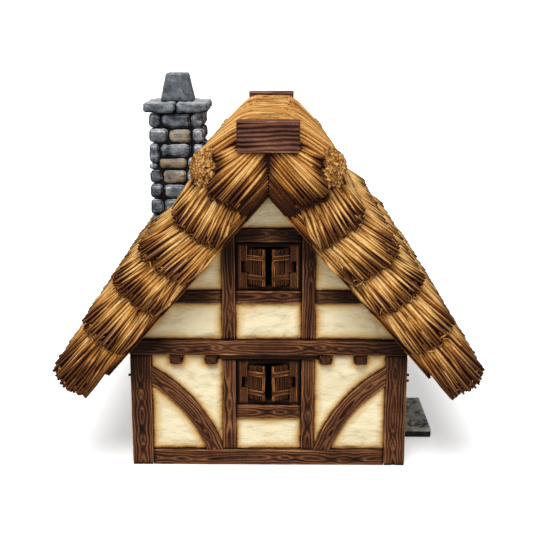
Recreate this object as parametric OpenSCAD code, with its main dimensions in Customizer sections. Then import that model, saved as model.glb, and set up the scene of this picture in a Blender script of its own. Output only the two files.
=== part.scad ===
// Painted tabletop model of a thatched, half-timbered cottage, in millimetres.
// +Z is up and the ground is Z = 0. The origin is the centre of the plan.
// The front gable faces -Y, the chimney stands on the -X side and the door on the +X side.

/* [House] */
// Width across the gable, outside the corner posts
house_w = 110; // [104:1:122]
// Length along the ridge, outside the corner posts
house_l = 142; // [132:1:156]
// Height of the underside of the bressummers
storey_h = 47; // [45:0.5:52]
// Depth of the wall timbers from outside to inside
wall_t = 6; // [5.2:0.1:7]
// Thickness of the plaster panels
plaster_t = 4; // [3:0.1:4.5]
// Set-back of the plaster behind the timber faces
plaster_back = 1; // [0.5:0.1:1.4]
// Thickness of the ground floor
ground_floor_t = 3; // [2:0.5:5]
// Thickness of the upper floor
upper_floor_t = 2; // [1.5:0.5:3]

/* [Timber frame] */
// Face width of the square corner posts
post_w = 8.4; // [7.4:0.1:10]
// Height of the sill beams
sill_h = 6.6; // [5:0.1:8]
// Height of the bressummers above the lower storey
bressummer_h = 6; // [5:0.1:7]
// Reach of the bressummers beyond the gable face
bressummer_out = 1; // [0.5:0.1:2]
// Face width of the studs
stud_w = 5.2; // [4:0.1:6]
// Clear width between the two studs of a window bay
window_bay = 26; // [24:0.5:28]
// Height of the rail under a ground-floor window
rail_h = 5.6; // [4:0.1:6.5]
// Height of the rail under an upper window
upper_rail_h = 5; // [4:0.1:6]
// Height of the plaster between a bressummer and the upper rail
upper_panel_h = 15; // [13:0.5:17]
// Height of the head beam over an upper window
head_h = 5.4; // [4:0.1:6.5]
// Height of the lintel board over a ground-floor window
lintel_h = 2; // [1.5:0.1:3]
// Width of a brace across its curve
brace_w = 6.4; // [5:0.1:7.5]
// Radius of a brace along its middle
brace_r = 59; // [57:0.5:62]
// Distance of a brace's head on its post below the underside of the bressummers
brace_head = 5.4; // [5:0.1:9]
// Distance of a brace's foot on its stud above the sill
brace_foot = 0.5; // [0.2:0.1:2]
// Drop of the wall plates below the underside of the bressummers
plate_drop = 5; // [4:0.5:6]
// Rise of the wall plates' outer edge above the underside of the bressummers
plate_rise = 2.4; // [1.5:0.1:4]

/* [Floor joists] */
// Width of a joist
joist_w = 4.8; // [3.6:0.1:5]
// Height of a joist
joist_h = 3.7; // [3:0.1:4.5]
// Reach of the joist ends beyond the gable face
joist_out = 1.6; // [1:0.1:2.5]
// Distance of the inner joists from the studs beside them
joist_clear = 2; // [1.5:0.1:3]

/* [Windows and door] */
// Height of a window frame
frame_h = 18.9; // [17:0.1:19.5]
// Shadow gap between a window frame and the timbers beside and over it
frame_gap = 0.4; // [0.2:0.1:0.6]
// Depth of a window frame from outside to inside
frame_t = 3.6; // [3:0.1:4]
// Set-back of the window and door frames behind the timber faces
frame_back = 1.2; // [0.6:0.1:1.8]
// Width of the opening in a window frame
window_w = 16.8; // [15.6:0.1:18]
// Height of the bottom and top members of a window frame
frame_bar = 1.7; // [1.2:0.1:2.2]
// Thickness of a shutter
shutter_t = 1.3; // [1:0.1:1.6]
// Clearance around a shutter in its opening
shutter_gap = 0.3; // [0.2:0.05:0.5]
// Gap between the free edges of two shutters if they were shut
shutter_meet = 0.6; // [0.3:0.1:1]
// Angle by which the shutters stand open
shutter_angle = 25; // [15:1:30]
// Distance of the hinge line behind the face of the window frame
hinge_inset = 0.5; // [0.3:0.1:0.8]
// Height of the hinge lug of a shutter and of its notch in the frame
lug_h = 4.6; // [3:0.1:6]
// Length of the hinge lug beyond the shutter's edge
lug_l = 2; // [1.4:0.1:2.4]
// Depth of the notch in the frame for a hinge lug
notch_d = 2.3; // [2.2:0.1:2.8]
// Height of a shutter batten
batten_h = 2; // [1.4:0.1:2.6]
// Height by which the battens stand proud
batten_out = 0.6; // [0.4:0.1:0.9]
// Distance of a shutter's battens above and below its middle
shutter_batten_off = 3.9; // [3.4:0.1:4.6]
// Distance of the side windows behind the middle of the house
side_window_y = 22; // [19:0.5:26]
// Distance of the door in front of the middle of the house
door_y = 23; // [21:0.5:26]
// Clear width between the two door studs
door_bay = 20; // [18:0.5:22]
// Width of the members of the door frame
door_frame_w = 2.2; // [1.6:0.1:3]
// Thickness of the door
door_t = 2; // [1.6:0.1:2.2]
// Clearance beside and over the door
door_gap = 0.3; // [0.2:0.05:0.5]
// Distance of the door's battens above and below its middle
door_batten_off = 11; // [9:0.5:13]
// Depth of the doorstep away from the wall
step_d = 15; // [12:0.5:20]
// Length of the doorstep along the wall
step_l = 38.4; // [30:0.2:44]
// Height of the doorstep
step_h = 4; // [3:0.2:6]

/* [Roof] */
// Slope of the roof
roof_pitch = 48.7; // [46:0.1:51]
// Reach of the thatch beyond the gable faces
roof_over = 13; // [10:0.5:14]
// Reach of the eaves beyond the wall, along the slope
eave_over = 20.7; // [18:0.1:24]
// Thickness of the base coat of thatch
base_t = 7; // [5:0.5:9]
// Reach of the base coat beyond the wall, along the slope
base_over = 7.3; // [5:0.1:9]
// Set-back of the base coat's ends behind the courses' ends
base_back = 2; // [1:0.5:3]
// Chamfer along the lower edge of the base coat's ends
base_chamfer = 3; // [1:0.5:4]
// Place of each course's butt end between the ridge course and the eaves
course_share = [0.163, 0.364, 0.538, 0.761, 1];
// Height of each course's butt end over the underside of the roof
course_top = [22.4, 23.3, 22.6, 20.3, 16.8];
// Height of the step between two courses
course_step = 3; // [2:0.5:4]
// Length by which a course laps over the next one
course_lap = 6; // [4:0.5:8]
// Radius of the rounded ends of the courses
nose_r = 8; // [5:0.5:9]
// Distance by which a course's ends draw in towards its top
nose_taper = 1.5; // [0.5:0.5:3]
// Height of the eaves' lower lip over the underside of the roof
eave_lip = 1.5; // [0.5:0.1:3]
// Reach of the eaves' swell beyond the last course's butt end
eave_swell = 2.2; // [1:0.1:3]
// Height of the rounding above and below the eaves' swell
eave_round = 5; // [3:0.5:6]
// Number of main straw bundles along a course
bundle_count = 16; // [12:1:20]
// Height of a straw bundle above the course
bundle_h = 0.8; // [0.5:0.1:1.2]
// Number of bundles around a course's rounded end
nose_bundles = 2; // [1:1:3]

/* [Ridge] */
// Length of the ridge course down the slope
ridge_reach = 12; // [10:0.2:13]
// Height of the ridge course's butt end over the underside of the roof
ridge_tip = 27.2; // [26:0.2:28.5]
// Length of the rounding of the ridge course's butt end
ridge_round = 6.4; // [4:0.2:8]
// Height by which the ridge course swells above its butt end
ridge_bulge = 1.8; // [1:0.2:2.4]
// Height that the ridge course loses from its front end to its rear end
ridge_sag = 2.2; // [0:0.1:2.5]
// Height of the top of the ridge over the inner apex
ridge_rise = 25.2; // [24:0.2:26]
// Half the width of the flat top of the ridge
ridge_flat = 9.5; // [7:0.5:11]
// Width of a ridge block
block_w = 23.4; // [20:0.2:26]
// Height of a ridge block
block_h = 11.6; // [10:0.2:12.5]
// Depth of a ridge block
block_d = 9; // [7:0.5:12]
// Reach of the ridge blocks beyond the gable faces
block_over = 15; // [14.5:0.5:17]
// Height of the ridge blocks' top over the inner apex
block_rise = 28.2; // [27:0.2:29]

/* [Chimney] */
// Width of the square chimney stack
stack_w = 23.5; // [20:0.1:26]
// Distance of the stack's middle in front of the middle of the house
stack_y = 24.2; // [20:0.2:26]
// Height of the stack over the inner apex
stack_rise = 26.9; // [24:0.1:32]
// Reach of the cap beyond the stack
cap_over = 2.1; // [1.5:0.1:3]
// Thickness of the cap
cap_h = 4.1; // [3:0.1:6]
// Distance of the cap's middle to the left of the stack's middle
cap_shift = 1; // [0:0.1:1.5]
// Width of the chimney pot at its foot
pot_foot_w = 13.5; // [12:0.1:15]
// Width of the chimney pot at its top
pot_top_w = 9; // [8:0.1:11]
// Height of the chimney pot
pot_h = 11.4; // [9:0.1:14]
// Width of the square flue in the pot
flue_w = 5; // [4:0.1:6]
// Depth of the flue
flue_d = 8; // [5:0.5:8.5]

/* [Hidden] */
$fn = 48;

timber_color = "#5a3a26";
plaster_color = "#e9dab4";
thatch_color = "#b5883e";
stone_color = "#63686d";
floor_color = "#7d5f45";
block_color = "#6b3a2a";

// Plan
half_w = house_w / 2;
half_l = house_l / 2;
inner_w = half_w - wall_t;
inner_l = half_l - wall_t;
post_in_w = half_w - post_w;
post_in_l = half_l - post_w;

// Levels of the gable wall
floor_z = storey_h + bressummer_h;
lintel_z = storey_h - lintel_h;
low_frame_z = lintel_z - frame_gap - frame_h;
low_rail_z = low_frame_z - rail_h;
upper_rail_z = floor_z + upper_panel_h;
high_frame_z = upper_rail_z + upper_rail_h;
head_z = high_frame_z + frame_h + frame_gap;
wall_top = storey_h + plate_rise;
apex_z = wall_top + half_w * tan(roof_pitch);

// Levels of the side walls
plate_z = storey_h - plate_drop;
side_frame_z = plate_z - frame_gap - frame_h;
side_rail_z = side_frame_z - rail_h;

// Places across a window bay and across a door bay
bay_in = window_bay / 2;
bay_out = bay_in + stud_w;
door_in = door_bay / 2;
door_out = door_in + stud_w;
joist_inner = bay_out + joist_clear + joist_w / 2;
joist_x = [joist_inner, (bay_out + half_w) / 2];

// Shutters
shutter_w = window_w / 2 - shutter_gap - shutter_meet / 2;
opening_h = frame_h - 2 * frame_bar;
shutter_h = opening_h - 2 * shutter_gap;
hinge_back = frame_back + hinge_inset;

// Roof, measured from the inner apex: s runs down the slope and n out of it
roof_half = half_l + roof_over;
wall_s = half_w / cos(roof_pitch);
eave_s = wall_s + eave_over;
base_end_s = wall_s + base_over;
course_count = len(course_share);
clear_n = 2 * ridge_tip;
ridge_half = roof_half - nose_r;
block_front = half_l + block_over;
block_z = apex_z + block_rise - block_h;

// Chimney
stack_x = -(inner_w - stack_w / 2);
stack_top = apex_z + stack_rise;
cap_x = stack_x - cap_shift;

// Slope distance of the butt end of a course, where course 0 is the ridge course
function butt_s(k) = k == 0 ? ridge_reach : ridge_reach + course_share[k - 1] * (eave_s - ridge_reach);

// Height of the butt end of a course over the underside of the roof
function tip_n(k) = k == 0 ? ridge_tip : course_top[k - 1];

// Point of the gable plane at a place on the right-hand slope
function on_slope(s, n) = [
  s * cos(roof_pitch) + n * sin(roof_pitch),
  apex_z - s * sin(roof_pitch) + n * cos(roof_pitch)
];

// The same point on the left-hand slope
function flip(p) = [-p[0], p[1]];

// Shape and its mirror image across the middle of the house
module both_sides() {
  children();
  mirror([1, 0, 0]) children();
}

// Rectangle given by two corners
module span(x0, z0, x1, z1) {
  translate([x0, z0]) square([x1 - x0, z1 - z0]);
}

// Upright slab of a wall that faces -Y, from a set-back behind the wall's face
module wall_slab(face, back, depth) {
  translate([0, back + depth - face, 0]) rotate([90, 0, 0]) linear_extrude(depth) children();
}

// Slab of the front gable, trimmed under the thatch
module gable_slab(back, depth) {
  wall_slab(half_l, back, depth) intersection() {
    children();
    gable_outline();
  }
}

// Slab of the right-hand wall, whose outline runs along Y and Z
module side_slab(back, depth) {
  rotate([0, 0, 90]) wall_slab(half_w, back, depth) children();
}

// Outline of a gable under the thatch
module gable_outline() {
  polygon([[-half_w, 0], [half_w, 0], [half_w, wall_top], [0, apex_z], [-half_w, wall_top]]);
}

// Space taken up by the chimney stack
module stack_space() {
  translate([stack_x - stack_w / 2, -stack_y - stack_w / 2, ground_floor_t])
    cube([stack_w, stack_w, stack_top - ground_floor_t]);
}

// Centre of an arc of a given radius from a high point on the right to a low point on the left
function arc_centre(high, low, r) =
  let (chord = low - high, off = sqrt(r * r / (chord * chord) - 1 / 4))
    (high + low) / 2 - off * [chord[1], -chord[0]];

// Curved band of a brace from a post on its right to the foot of a stud on its left
module brace_band(post_x, stud_x) {
  rim = brace_r + brace_w / 2;
  translate(arc_centre([post_x, storey_h - brace_head], [stud_x, sill_h + brace_foot], rim)) difference() {
    circle(r = rim, $fn = 180);
    circle(r = rim - brace_w, $fn = 180);
  }
}

// Ends of the joists on one side of the gable
module joist_ends() {
  for (x = joist_x)
    span(x - joist_w / 2, storey_h - joist_h, x + joist_w / 2, storey_h);
}

// Bay between the window stud and the right-hand corner post
module gable_bay() {
  difference() {
    span(bay_out, sill_h, post_in_w, storey_h);
    joist_ends();
    span(0, lintel_z, joist_inner - joist_w / 2, storey_h);
  }
}

// Studs of a gable
module gable_studs() {
  both_sides() gable_slab(0, wall_t) {
    span(bay_in, sill_h, bay_out, lintel_z);
    span(bay_in, floor_z, bay_out, apex_z);
  }
}

// Rails, head beam and lintel board of a gable
module gable_rails() {
  gable_slab(0, wall_t) {
    span(-bay_in, low_rail_z, bay_in, low_frame_z);
    span(-bay_in, upper_rail_z, bay_in, high_frame_z);
    span(-bay_in, head_z, bay_in, head_z + head_h);
    span(joist_w / 2 - joist_inner, lintel_z, joist_inner - joist_w / 2, storey_h);
  }
  both_sides() gable_slab(0, wall_t) span(bay_out, upper_rail_z, half_w, high_frame_z);
}

// Curved braces of a gable
module gable_braces() {
  both_sides() gable_slab(0, wall_t) intersection() {
    brace_band(post_in_w, bay_out);
    gable_bay();
  }
}

// Plaster panels of a gable
module gable_plaster() {
  gable_slab(plaster_back, plaster_t) {
    span(-bay_in, sill_h, bay_in, low_rail_z);
    span(-bay_in, floor_z, bay_in, upper_rail_z);
    span(-bay_in, head_z + head_h, bay_in, apex_z);
  }
  both_sides() gable_slab(plaster_back, plaster_t) {
    difference() {
      gable_bay();
      brace_band(post_in_w, bay_out);
    }
    span(bay_out, floor_z, half_w, upper_rail_z);
    span(bay_out, high_frame_z, half_w, apex_z);
  }
}

// Outline of a window frame with a notch for each hinge lug, from its foot up
module window_frame_outline() {
  outer = bay_in - frame_gap;
  difference() {
    span(-outer, 0, outer, frame_h);
    span(-window_w / 2, frame_bar, window_w / 2, frame_h - frame_bar);
    translate([-window_w / 2 - notch_d, (frame_h - lug_h) / 2]) square([window_w + 2 * notch_d, lug_h]);
  }
}

// One shutter with its battens and hinge lug, hinged at its left edge and standing open
module shutter() {
  rotate([0, 0, -shutter_angle]) {
    translate([0, 0, -shutter_h / 2]) cube([shutter_w, shutter_t, shutter_h]);
    translate([-lug_l, 0, -lug_h / 2]) cube([lug_l + shutter_t, shutter_t, lug_h]);
    for (side = [-1, 1])
      translate([0, -batten_out, side * shutter_batten_off - batten_h / 2])
        cube([shutter_w, batten_out + shutter_t, batten_h]);
  }
}

// Pair of shutters of a window in a wall that faces -Y
module shutter_pair(face, x, foot_z) {
  translate([x, hinge_back - face, foot_z + frame_h / 2])
    both_sides() translate([shutter_gap - window_w / 2, 0, 0]) shutter();
}

// Window frames of a gable
module gable_window_frames() {
  for (z = [low_frame_z, high_frame_z])
    gable_slab(frame_back, frame_t) translate([0, z]) window_frame_outline();
}

// Shutters of a gable
module gable_shutters() {
  for (z = [low_frame_z, high_frame_z])
    shutter_pair(half_l, 0, z);
}

// Outline of the two end bays of a side wall
module side_end_bays() {
  span(-post_in_l, sill_h, -door_y - door_out, plate_z);
  span(side_window_y + bay_out, sill_h, post_in_l, plate_z);
}

// Curved bands of a side wall's two braces
module side_brace_bands() {
  brace_band(post_in_l, side_window_y + bay_out);
  mirror([1, 0]) brace_band(post_in_l, door_y + door_out);
}

// Plaster panels that both side walls have
module side_panels() {
  side_slab(plaster_back, plaster_t) {
    difference() {
      side_end_bays();
      side_brace_bands();
    }
    span(door_out - door_y, sill_h, side_window_y - bay_out, plate_z);
    span(side_window_y - bay_in, sill_h, side_window_y + bay_in, side_rail_z);
  }
}

// Height of a point of a course's outline over it, where every third point lies between two bundles
function bundle_raise(i) = i % 3 == 0 ? 0 : bundle_h;

// Outline of a thatch course at one place down the slope, from its rear foot to its front foot
function course_outline(top, half) = let (
  flat = half - nose_r,
  run = 3 * bundle_count,
  turns = 3 * nose_bundles,
  nose = [for (i = [turns:-1:1]) let (turn = 90 * i / turns, r = nose_r + bundle_raise(i))
    [flat + r * sin(turn), top - nose_r + r * cos(turn)]],
  rear = concat([[half - nose_taper, 0]], nose)
) concat(
  rear,
  [for (i = [run:-1:0]) [flat * (2 * i / run - 1), top + bundle_raise(i)]],
  [for (i = [turns:-1:0]) flip(rear[i])]
);

// Height and half length of a course at one place down the slope
function course_n(k, s) = let (start = tip_n(k - 1) - course_step)
  start + (tip_n(k) - start) * (s - butt_s(k - 1)) / (butt_s(k) - butt_s(k - 1));
function course_half_l(k, s) =
  roof_half - nose_taper * (butt_s(k) - s) / (butt_s(k) - butt_s(k - 1) + course_lap);
function course_slice(k, s) = course_outline(course_n(k, s), course_half_l(k, s));

// Solid through outlines with the same number of points, one at each place along X
module loft(places, outlines) {
  ring = len(outlines[0]);
  last = len(places) - 1;
  points = [for (k = [0:last], p = outlines[k]) [places[k], p[0], p[1]]];
  walls = [for (k = [0:last - 1], i = [0:ring - 1]) let (a = k * ring + i, b = k * ring + (i + 1) % ring)
    each [[b, a, a + ring], [b, a + ring, b + ring]]];
  ends = [[for (i = [0:ring - 1]) i], [for (i = [ring - 1:-1:0]) last * ring + i]];
  polyhedron(points, concat(ends, walls));
}

// Stretch of the slope that belongs to a course, from lap to lap
module course_band(k) {
  above = butt_s(k - 1);
  end = butt_s(k);
  start = [[above - course_lap, base_t], [above, tip_n(k - 1) - course_step]];
  over = [[above, clear_n], [end, clear_n]];
  lap_edge = [[end, tip_n(k) - course_step], [end - course_lap, base_t]];
  eave_edge = [
    [end, tip_n(k)],
    [end + eave_swell, tip_n(k) - eave_round],
    [end + eave_swell, eave_lip + eave_round],
    [end, eave_lip],
    [base_end_s, eave_lip],
    [base_end_s, base_t]
  ];
  translate([0, 2 * half_l, 0]) rotate([90, 0, 0]) linear_extrude(4 * half_l)
    polygon(concat(start, over, k == course_count ? eave_edge : lap_edge));
}

// Right-hand half of a thatch course, with its main straw bundles
module course_half(k) {
  upper = butt_s(k - 1) - 2 * course_lap;
  lower = butt_s(k) + course_lap;
  translate([0, 0, apex_z]) rotate([0, roof_pitch, 0]) intersection() {
    loft([upper, lower], [course_slice(k, upper), course_slice(k, lower)]);
    course_band(k);
  }
}

// One course of thatch on both slopes, fitted around the chimney
module thatch_course(k) {
  color(thatch_color) difference() {
    both_sides() course_half(k);
    stack_space();
  }
}

// Right-hand base coat of thatch, mitred at the ridge
module base_half() {
  half = roof_half - base_back;
  foot = half - base_chamfer;
  right = [[foot, 0], [half, base_chamfer], [half, base_t]];
  intersection() {
    translate([0, 0, apex_z]) rotate([0, roof_pitch, 0]) translate([-house_w, 0, 0])
      rotate([90, 0, 90]) linear_extrude(house_w + base_end_s)
        polygon(concat(right, [for (i = [2:-1:0]) flip(right[i])]));
    translate([0, -house_l, 0]) cube([house_w, 2 * house_l, 2 * apex_z]);
  }
}

// Section of the ridge course at one place along it, lowered by a given amount
function ridge_section(y, drop) = let (
  share = max(0, min(1, (y / ridge_half + 1) / 2)),
  tip = ridge_tip - share * ridge_sag - drop,
  side = [
    on_slope(ridge_reach, 0),
    on_slope(ridge_reach, tip),
    on_slope(ridge_reach - ridge_round, tip + (1 - share) * ridge_bulge),
    [ridge_flat, apex_z + ridge_rise - drop]
  ]
) concat(side, [for (i = [len(side) - 1:-1:0]) flip(side[i])]);

// Ridge course in one piece, with its main straw bundles
module ridge_course() {
  run = 2 * bundle_count;
  middle = [for (i = [0:run]) ridge_half * (2 * i / run - 1)];
  front = ridge_section(-roof_half, nose_r / 2);
  rear = ridge_section(roof_half, nose_r / 2);
  sections = [for (i = [0:run]) ridge_section(middle[i], i % 2 == 0 ? 0 : -bundle_h)];
  rotate([0, 0, 90]) loft(concat([-roof_half], middle, [roof_half]), concat([front], sections, [rear]));
}

// Space under the ridge course that the base coat and the first course fill
module under_ridge() {
  side = [
    on_slope(ridge_reach - course_lap, base_t),
    on_slope(ridge_reach, ridge_tip - course_step),
    on_slope(ridge_reach + course_lap, ridge_tip - course_step),
    on_slope(ridge_reach + course_lap, 0)
  ];
  last = len(side) - 1;
  top = [[0, apex_z + base_t / cos(roof_pitch)]];
  translate([0, house_l, 0]) rotate([90, 0, 0]) linear_extrude(2 * house_l)
    polygon(concat(top, side, [for (i = [last:-1:0]) flip(side[i])]));
}

// Block at the front end of the ridge
module ridge_block() {
  translate([-block_w / 2, -block_front, block_z]) cube([block_w, block_d, block_h]);
}

module ground_floor() {
  color(floor_color) difference() {
    translate([-inner_w, -inner_l, 0]) cube([2 * inner_w, 2 * inner_l, ground_floor_t]);
    corner_posts();
  }
}

module upper_floor() {
  color(floor_color) difference() {
    translate([-inner_w, -post_in_l, storey_h]) cube([2 * inner_w, 2 * post_in_l, upper_floor_t]);
    stack_space();
  }
}

module floor_joists() {
  color(timber_color) difference() {
    both_sides() for (x = joist_x)
      translate([x - joist_w / 2, -half_l - joist_out, storey_h - joist_h])
        cube([joist_w, house_l + 2 * joist_out, joist_h]);
    stack_space();
  }
}

module sill_beams() {
  color(timber_color) {
    for (turn = [0, 180])
      rotate([0, 0, turn]) translate([-post_in_w, -half_l, 0]) cube([2 * post_in_w, wall_t, sill_h]);
    both_sides() translate([inner_w, -post_in_l, 0]) cube([wall_t, 2 * post_in_l, sill_h]);
  }
}

module corner_posts() {
  color(timber_color) both_sides() for (y = [-half_l, post_in_l])
    translate([post_in_w, y, 0]) cube([post_w, post_w, storey_h]);
}

module bressummers() {
  color(timber_color) for (turn = [0, 180])
    rotate([0, 0, turn]) gable_slab(-bressummer_out, post_w + bressummer_out)
      span(-half_w, storey_h, half_w, floor_z);
}

module wall_plates() {
  inner_top = wall_top + wall_t * tan(roof_pitch);
  color(timber_color) both_sides() translate([0, post_in_l, 0]) rotate([90, 0, 0])
    linear_extrude(2 * post_in_l)
      polygon([[inner_w, plate_z], [half_w, plate_z], [half_w, wall_top], [inner_w, inner_top]]);
}

module front_studs() { color(timber_color) gable_studs(); }
module front_rails() { color(timber_color) gable_rails(); }
module front_braces() { color(timber_color) gable_braces(); }
module front_plaster() { color(plaster_color) gable_plaster(); }
module front_window_frames() { color(timber_color) gable_window_frames(); }
module front_shutters() { color(timber_color) gable_shutters(); }

module rear_studs() { color(timber_color) rotate([0, 0, 180]) gable_studs(); }
module rear_rails() { color(timber_color) rotate([0, 0, 180]) gable_rails(); }
module rear_braces() { color(timber_color) rotate([0, 0, 180]) gable_braces(); }
module rear_plaster() { color(plaster_color) rotate([0, 0, 180]) gable_plaster(); }
module rear_window_frames() { color(timber_color) rotate([0, 0, 180]) gable_window_frames(); }
module rear_shutters() { color(timber_color) rotate([0, 0, 180]) gable_shutters(); }

module side_studs() {
  color(timber_color) both_sides() side_slab(0, wall_t) {
    for (y = [-door_y - door_out, -door_y + door_in, side_window_y - bay_out, side_window_y + bay_in])
      span(y, sill_h, y + stud_w, plate_z);
  }
}

module side_rails() {
  color(timber_color) {
    both_sides() side_slab(0, wall_t)
      span(side_window_y - bay_in, side_rail_z, side_window_y + bay_in, side_frame_z);
    mirror([1, 0, 0]) side_slab(0, wall_t)
      span(-door_y - door_in, side_rail_z, -door_y + door_in, side_frame_z);
  }
}

module side_braces() {
  color(timber_color) both_sides() side_slab(0, wall_t) intersection() {
    side_brace_bands();
    side_end_bays();
  }
}

module left_plaster() {
  color(plaster_color) mirror([1, 0, 0]) {
    side_panels();
    side_slab(plaster_back, plaster_t) {
      span(-door_y - door_in, sill_h, -door_y + door_in, side_rail_z);
      span(-door_y - door_in, side_frame_z, -door_y + door_in, plate_z);
    }
  }
}

module right_plaster() {
  color(plaster_color) side_panels();
}

module side_window_frames() {
  color(timber_color) both_sides() side_slab(frame_back, frame_t)
    translate([side_window_y, side_frame_z]) window_frame_outline();
}

module side_shutters() {
  color(timber_color) both_sides() rotate([0, 0, 90])
    shutter_pair(half_w, side_window_y, side_frame_z);
}

module door_frame() {
  color(timber_color) side_slab(frame_back, frame_t) translate([-door_y, 0]) difference() {
    span(-door_in, sill_h, door_in, plate_z);
    span(door_frame_w - door_in, sill_h, door_in - door_frame_w, plate_z - door_frame_w);
  }
}

module door() {
  half = door_in - door_frame_w - door_gap;
  head = plate_z - door_frame_w - door_gap;
  back = frame_back + batten_out;
  middle = (sill_h + head) / 2;
  color(timber_color) {
    side_slab(back, door_t) span(-door_y - half, sill_h, half - door_y, head);
    for (side = [-1, 1])
      side_slab(frame_back, batten_out + door_t) translate([-door_y, middle + side * door_batten_off])
        span(-half, -batten_h / 2, half, batten_h / 2);
  }
}

module doorstep() {
  color(stone_color) translate([half_w, -door_y - step_l / 2, 0]) cube([step_d, step_l, step_h]);
}

module left_thatch_base() {
  color(thatch_color) difference() {
    mirror([1, 0, 0]) base_half();
    stack_space();
  }
}

module right_thatch_base() { color(thatch_color) base_half(); }

module thatch_course_1() { thatch_course(1); }
module thatch_course_2() { thatch_course(2); }
module thatch_course_3() { thatch_course(3); }
module thatch_course_4() { thatch_course(4); }
module thatch_course_5() { thatch_course(5); }

module ridge_thatch() {
  color(thatch_color) difference() {
    ridge_course();
    under_ridge();
    ridge_block();
    rotate([0, 0, 180]) ridge_block();
    stack_space();
  }
}

module front_ridge_block() { color(block_color) ridge_block(); }
module rear_ridge_block() { color(block_color) rotate([0, 0, 180]) ridge_block(); }

module chimney_stack() { color(stone_color) stack_space(); }

module chimney_cap() {
  side = stack_w + 2 * cap_over;
  color(stone_color) translate([cap_x - side / 2, -stack_y - side / 2, stack_top])
    cube([side, side, cap_h]);
}

module chimney_pot() {
  color(stone_color) translate([cap_x, -stack_y, stack_top + cap_h]) difference() {
    linear_extrude(pot_h, scale = pot_top_w / pot_foot_w) square(pot_foot_w, center = true);
    translate([-flue_w / 2, -flue_w / 2, pot_h - flue_d]) cube([flue_w, flue_w, 2 * flue_d]);
  }
}

ground_floor();
upper_floor();
floor_joists();
sill_beams();
corner_posts();
bressummers();
wall_plates();
front_studs();
front_rails();
front_braces();
front_plaster();
front_window_frames();
front_shutters();
rear_studs();
rear_rails();
rear_braces();
rear_plaster();
rear_window_frames();
rear_shutters();
side_studs();
side_rails();
side_braces();
left_plaster();
right_plaster();
side_window_frames();
side_shutters();
door_frame();
door();
doorstep();
left_thatch_base();
right_thatch_base();
thatch_course_1();
thatch_course_2();
thatch_course_3();
thatch_course_4();
thatch_course_5();
ridge_thatch();
front_ridge_block();
rear_ridge_block();
chimney_stack();
chimney_cap();
chimney_pot();
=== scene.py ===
"""Looks of a tabletop model of a thatched half-timbered cottage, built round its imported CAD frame.

Lengths are in millimetres until a mesh is published; the frame and the finished pieces are in metres.
"""
import logging
import math
from collections.abc import Callable
from dataclasses import dataclass, field
from enum import Enum
from functools import partial

import bmesh
import bpy
import numpy as np
from bpy.types import Material, Node, NodeSocket, NodeTree, World
from mathutils import Matrix, Vector


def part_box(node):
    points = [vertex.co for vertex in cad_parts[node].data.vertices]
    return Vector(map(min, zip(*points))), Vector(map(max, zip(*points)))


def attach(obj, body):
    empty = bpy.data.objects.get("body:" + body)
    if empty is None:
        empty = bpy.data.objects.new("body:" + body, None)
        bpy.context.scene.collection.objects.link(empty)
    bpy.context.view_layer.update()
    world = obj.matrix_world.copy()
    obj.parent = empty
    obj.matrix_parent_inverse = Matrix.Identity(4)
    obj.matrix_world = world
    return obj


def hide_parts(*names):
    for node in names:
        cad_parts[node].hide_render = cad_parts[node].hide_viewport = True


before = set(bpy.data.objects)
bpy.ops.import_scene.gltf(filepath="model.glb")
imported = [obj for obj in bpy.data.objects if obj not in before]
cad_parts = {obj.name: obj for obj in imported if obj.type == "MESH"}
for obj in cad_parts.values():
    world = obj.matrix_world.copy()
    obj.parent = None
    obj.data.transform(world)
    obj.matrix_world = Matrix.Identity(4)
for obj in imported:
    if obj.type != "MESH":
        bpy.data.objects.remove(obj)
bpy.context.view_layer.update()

LOG = logging.getLogger("cottage")
MM = 0.001
BODY = "root"
# Points of a CAD mesh closer than this are one point, in metres
MERGE_M = 1e-6
# A point this close to a face lies on it, and a cut this close to a point goes through it
FLUSH = 1e-3
CUT_SLACK = 1e-4
# Stands in for a length of nothing where something is divided by it
TINY = 1e-9
# Random values behind the smooth noise: a power of two
NOISE_VALUES = 4096

Array = np.ndarray
Shape = bmesh.types.BMesh
Colour = tuple[float, float, float, float]
Span = tuple[float, float]
Lines = tuple[Array, Array, Array]


class Axis(Enum):
    """Axis of the shared frame that a member runs along or is cut across."""

    X = 0
    Y = 1
    Z = 2


def linear(code: str) -> Colour:
    """Turns an sRGB hex colour into the linear colour that a shader socket takes.

    Args:
        code: Colour such as "#8a5c38".

    Returns:
        Linear red, green and blue, and full alpha.
    """
    parts = [int(code[i:i + 2], 16) / 255 for i in (1, 3, 5)]
    red, green, blue = [c / 12.92 if c <= 0.04045 else ((c + 0.055) / 1.055) ** 2.4 for c in parts]
    return red, green, blue, 1.0


def value_noise(points: Array, seed: int) -> Array:
    """Smooth random field on a lattice of unit cells.

    Args:
        points: Places to read, one row each, in cells; two or three columns.
        seed: Picks one field out of many.

    Returns:
        One value from -1 to 1 for each row.
    """
    table = np.random.default_rng(seed).uniform(-1, 1, NOISE_VALUES)
    cell = np.floor(points).astype(np.int64)
    part = points - cell
    part = part * part * (3 - 2 * part)
    primes = np.array([73856093, 19349663, 83492791])[:points.shape[1]]
    total = np.zeros(len(points))
    for corner in np.ndindex(*(2,) * points.shape[1]):
        step = np.array(corner)
        share = np.prod(np.where(step == 1, part, 1 - part), axis=1)
        key = np.bitwise_xor.reduce((cell + step) * primes, axis=1) & (NOISE_VALUES - 1)
        total += share * table[key]
    return total


def two_noises(points: Array, coarse: float, fine: float, seed: int) -> Array:
    """Smooth random field with a finer one of half its height on it, both of given sizes."""
    return value_noise(points / coarse, seed) + 0.5 * value_noise(points / fine, seed + 1)


def near(place: Array, reach: float) -> Array:
    """Soft hump: 1 where the place is 0, fading to nothing a little past its reach."""
    return np.exp(-(place / reach) ** 2)


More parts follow.
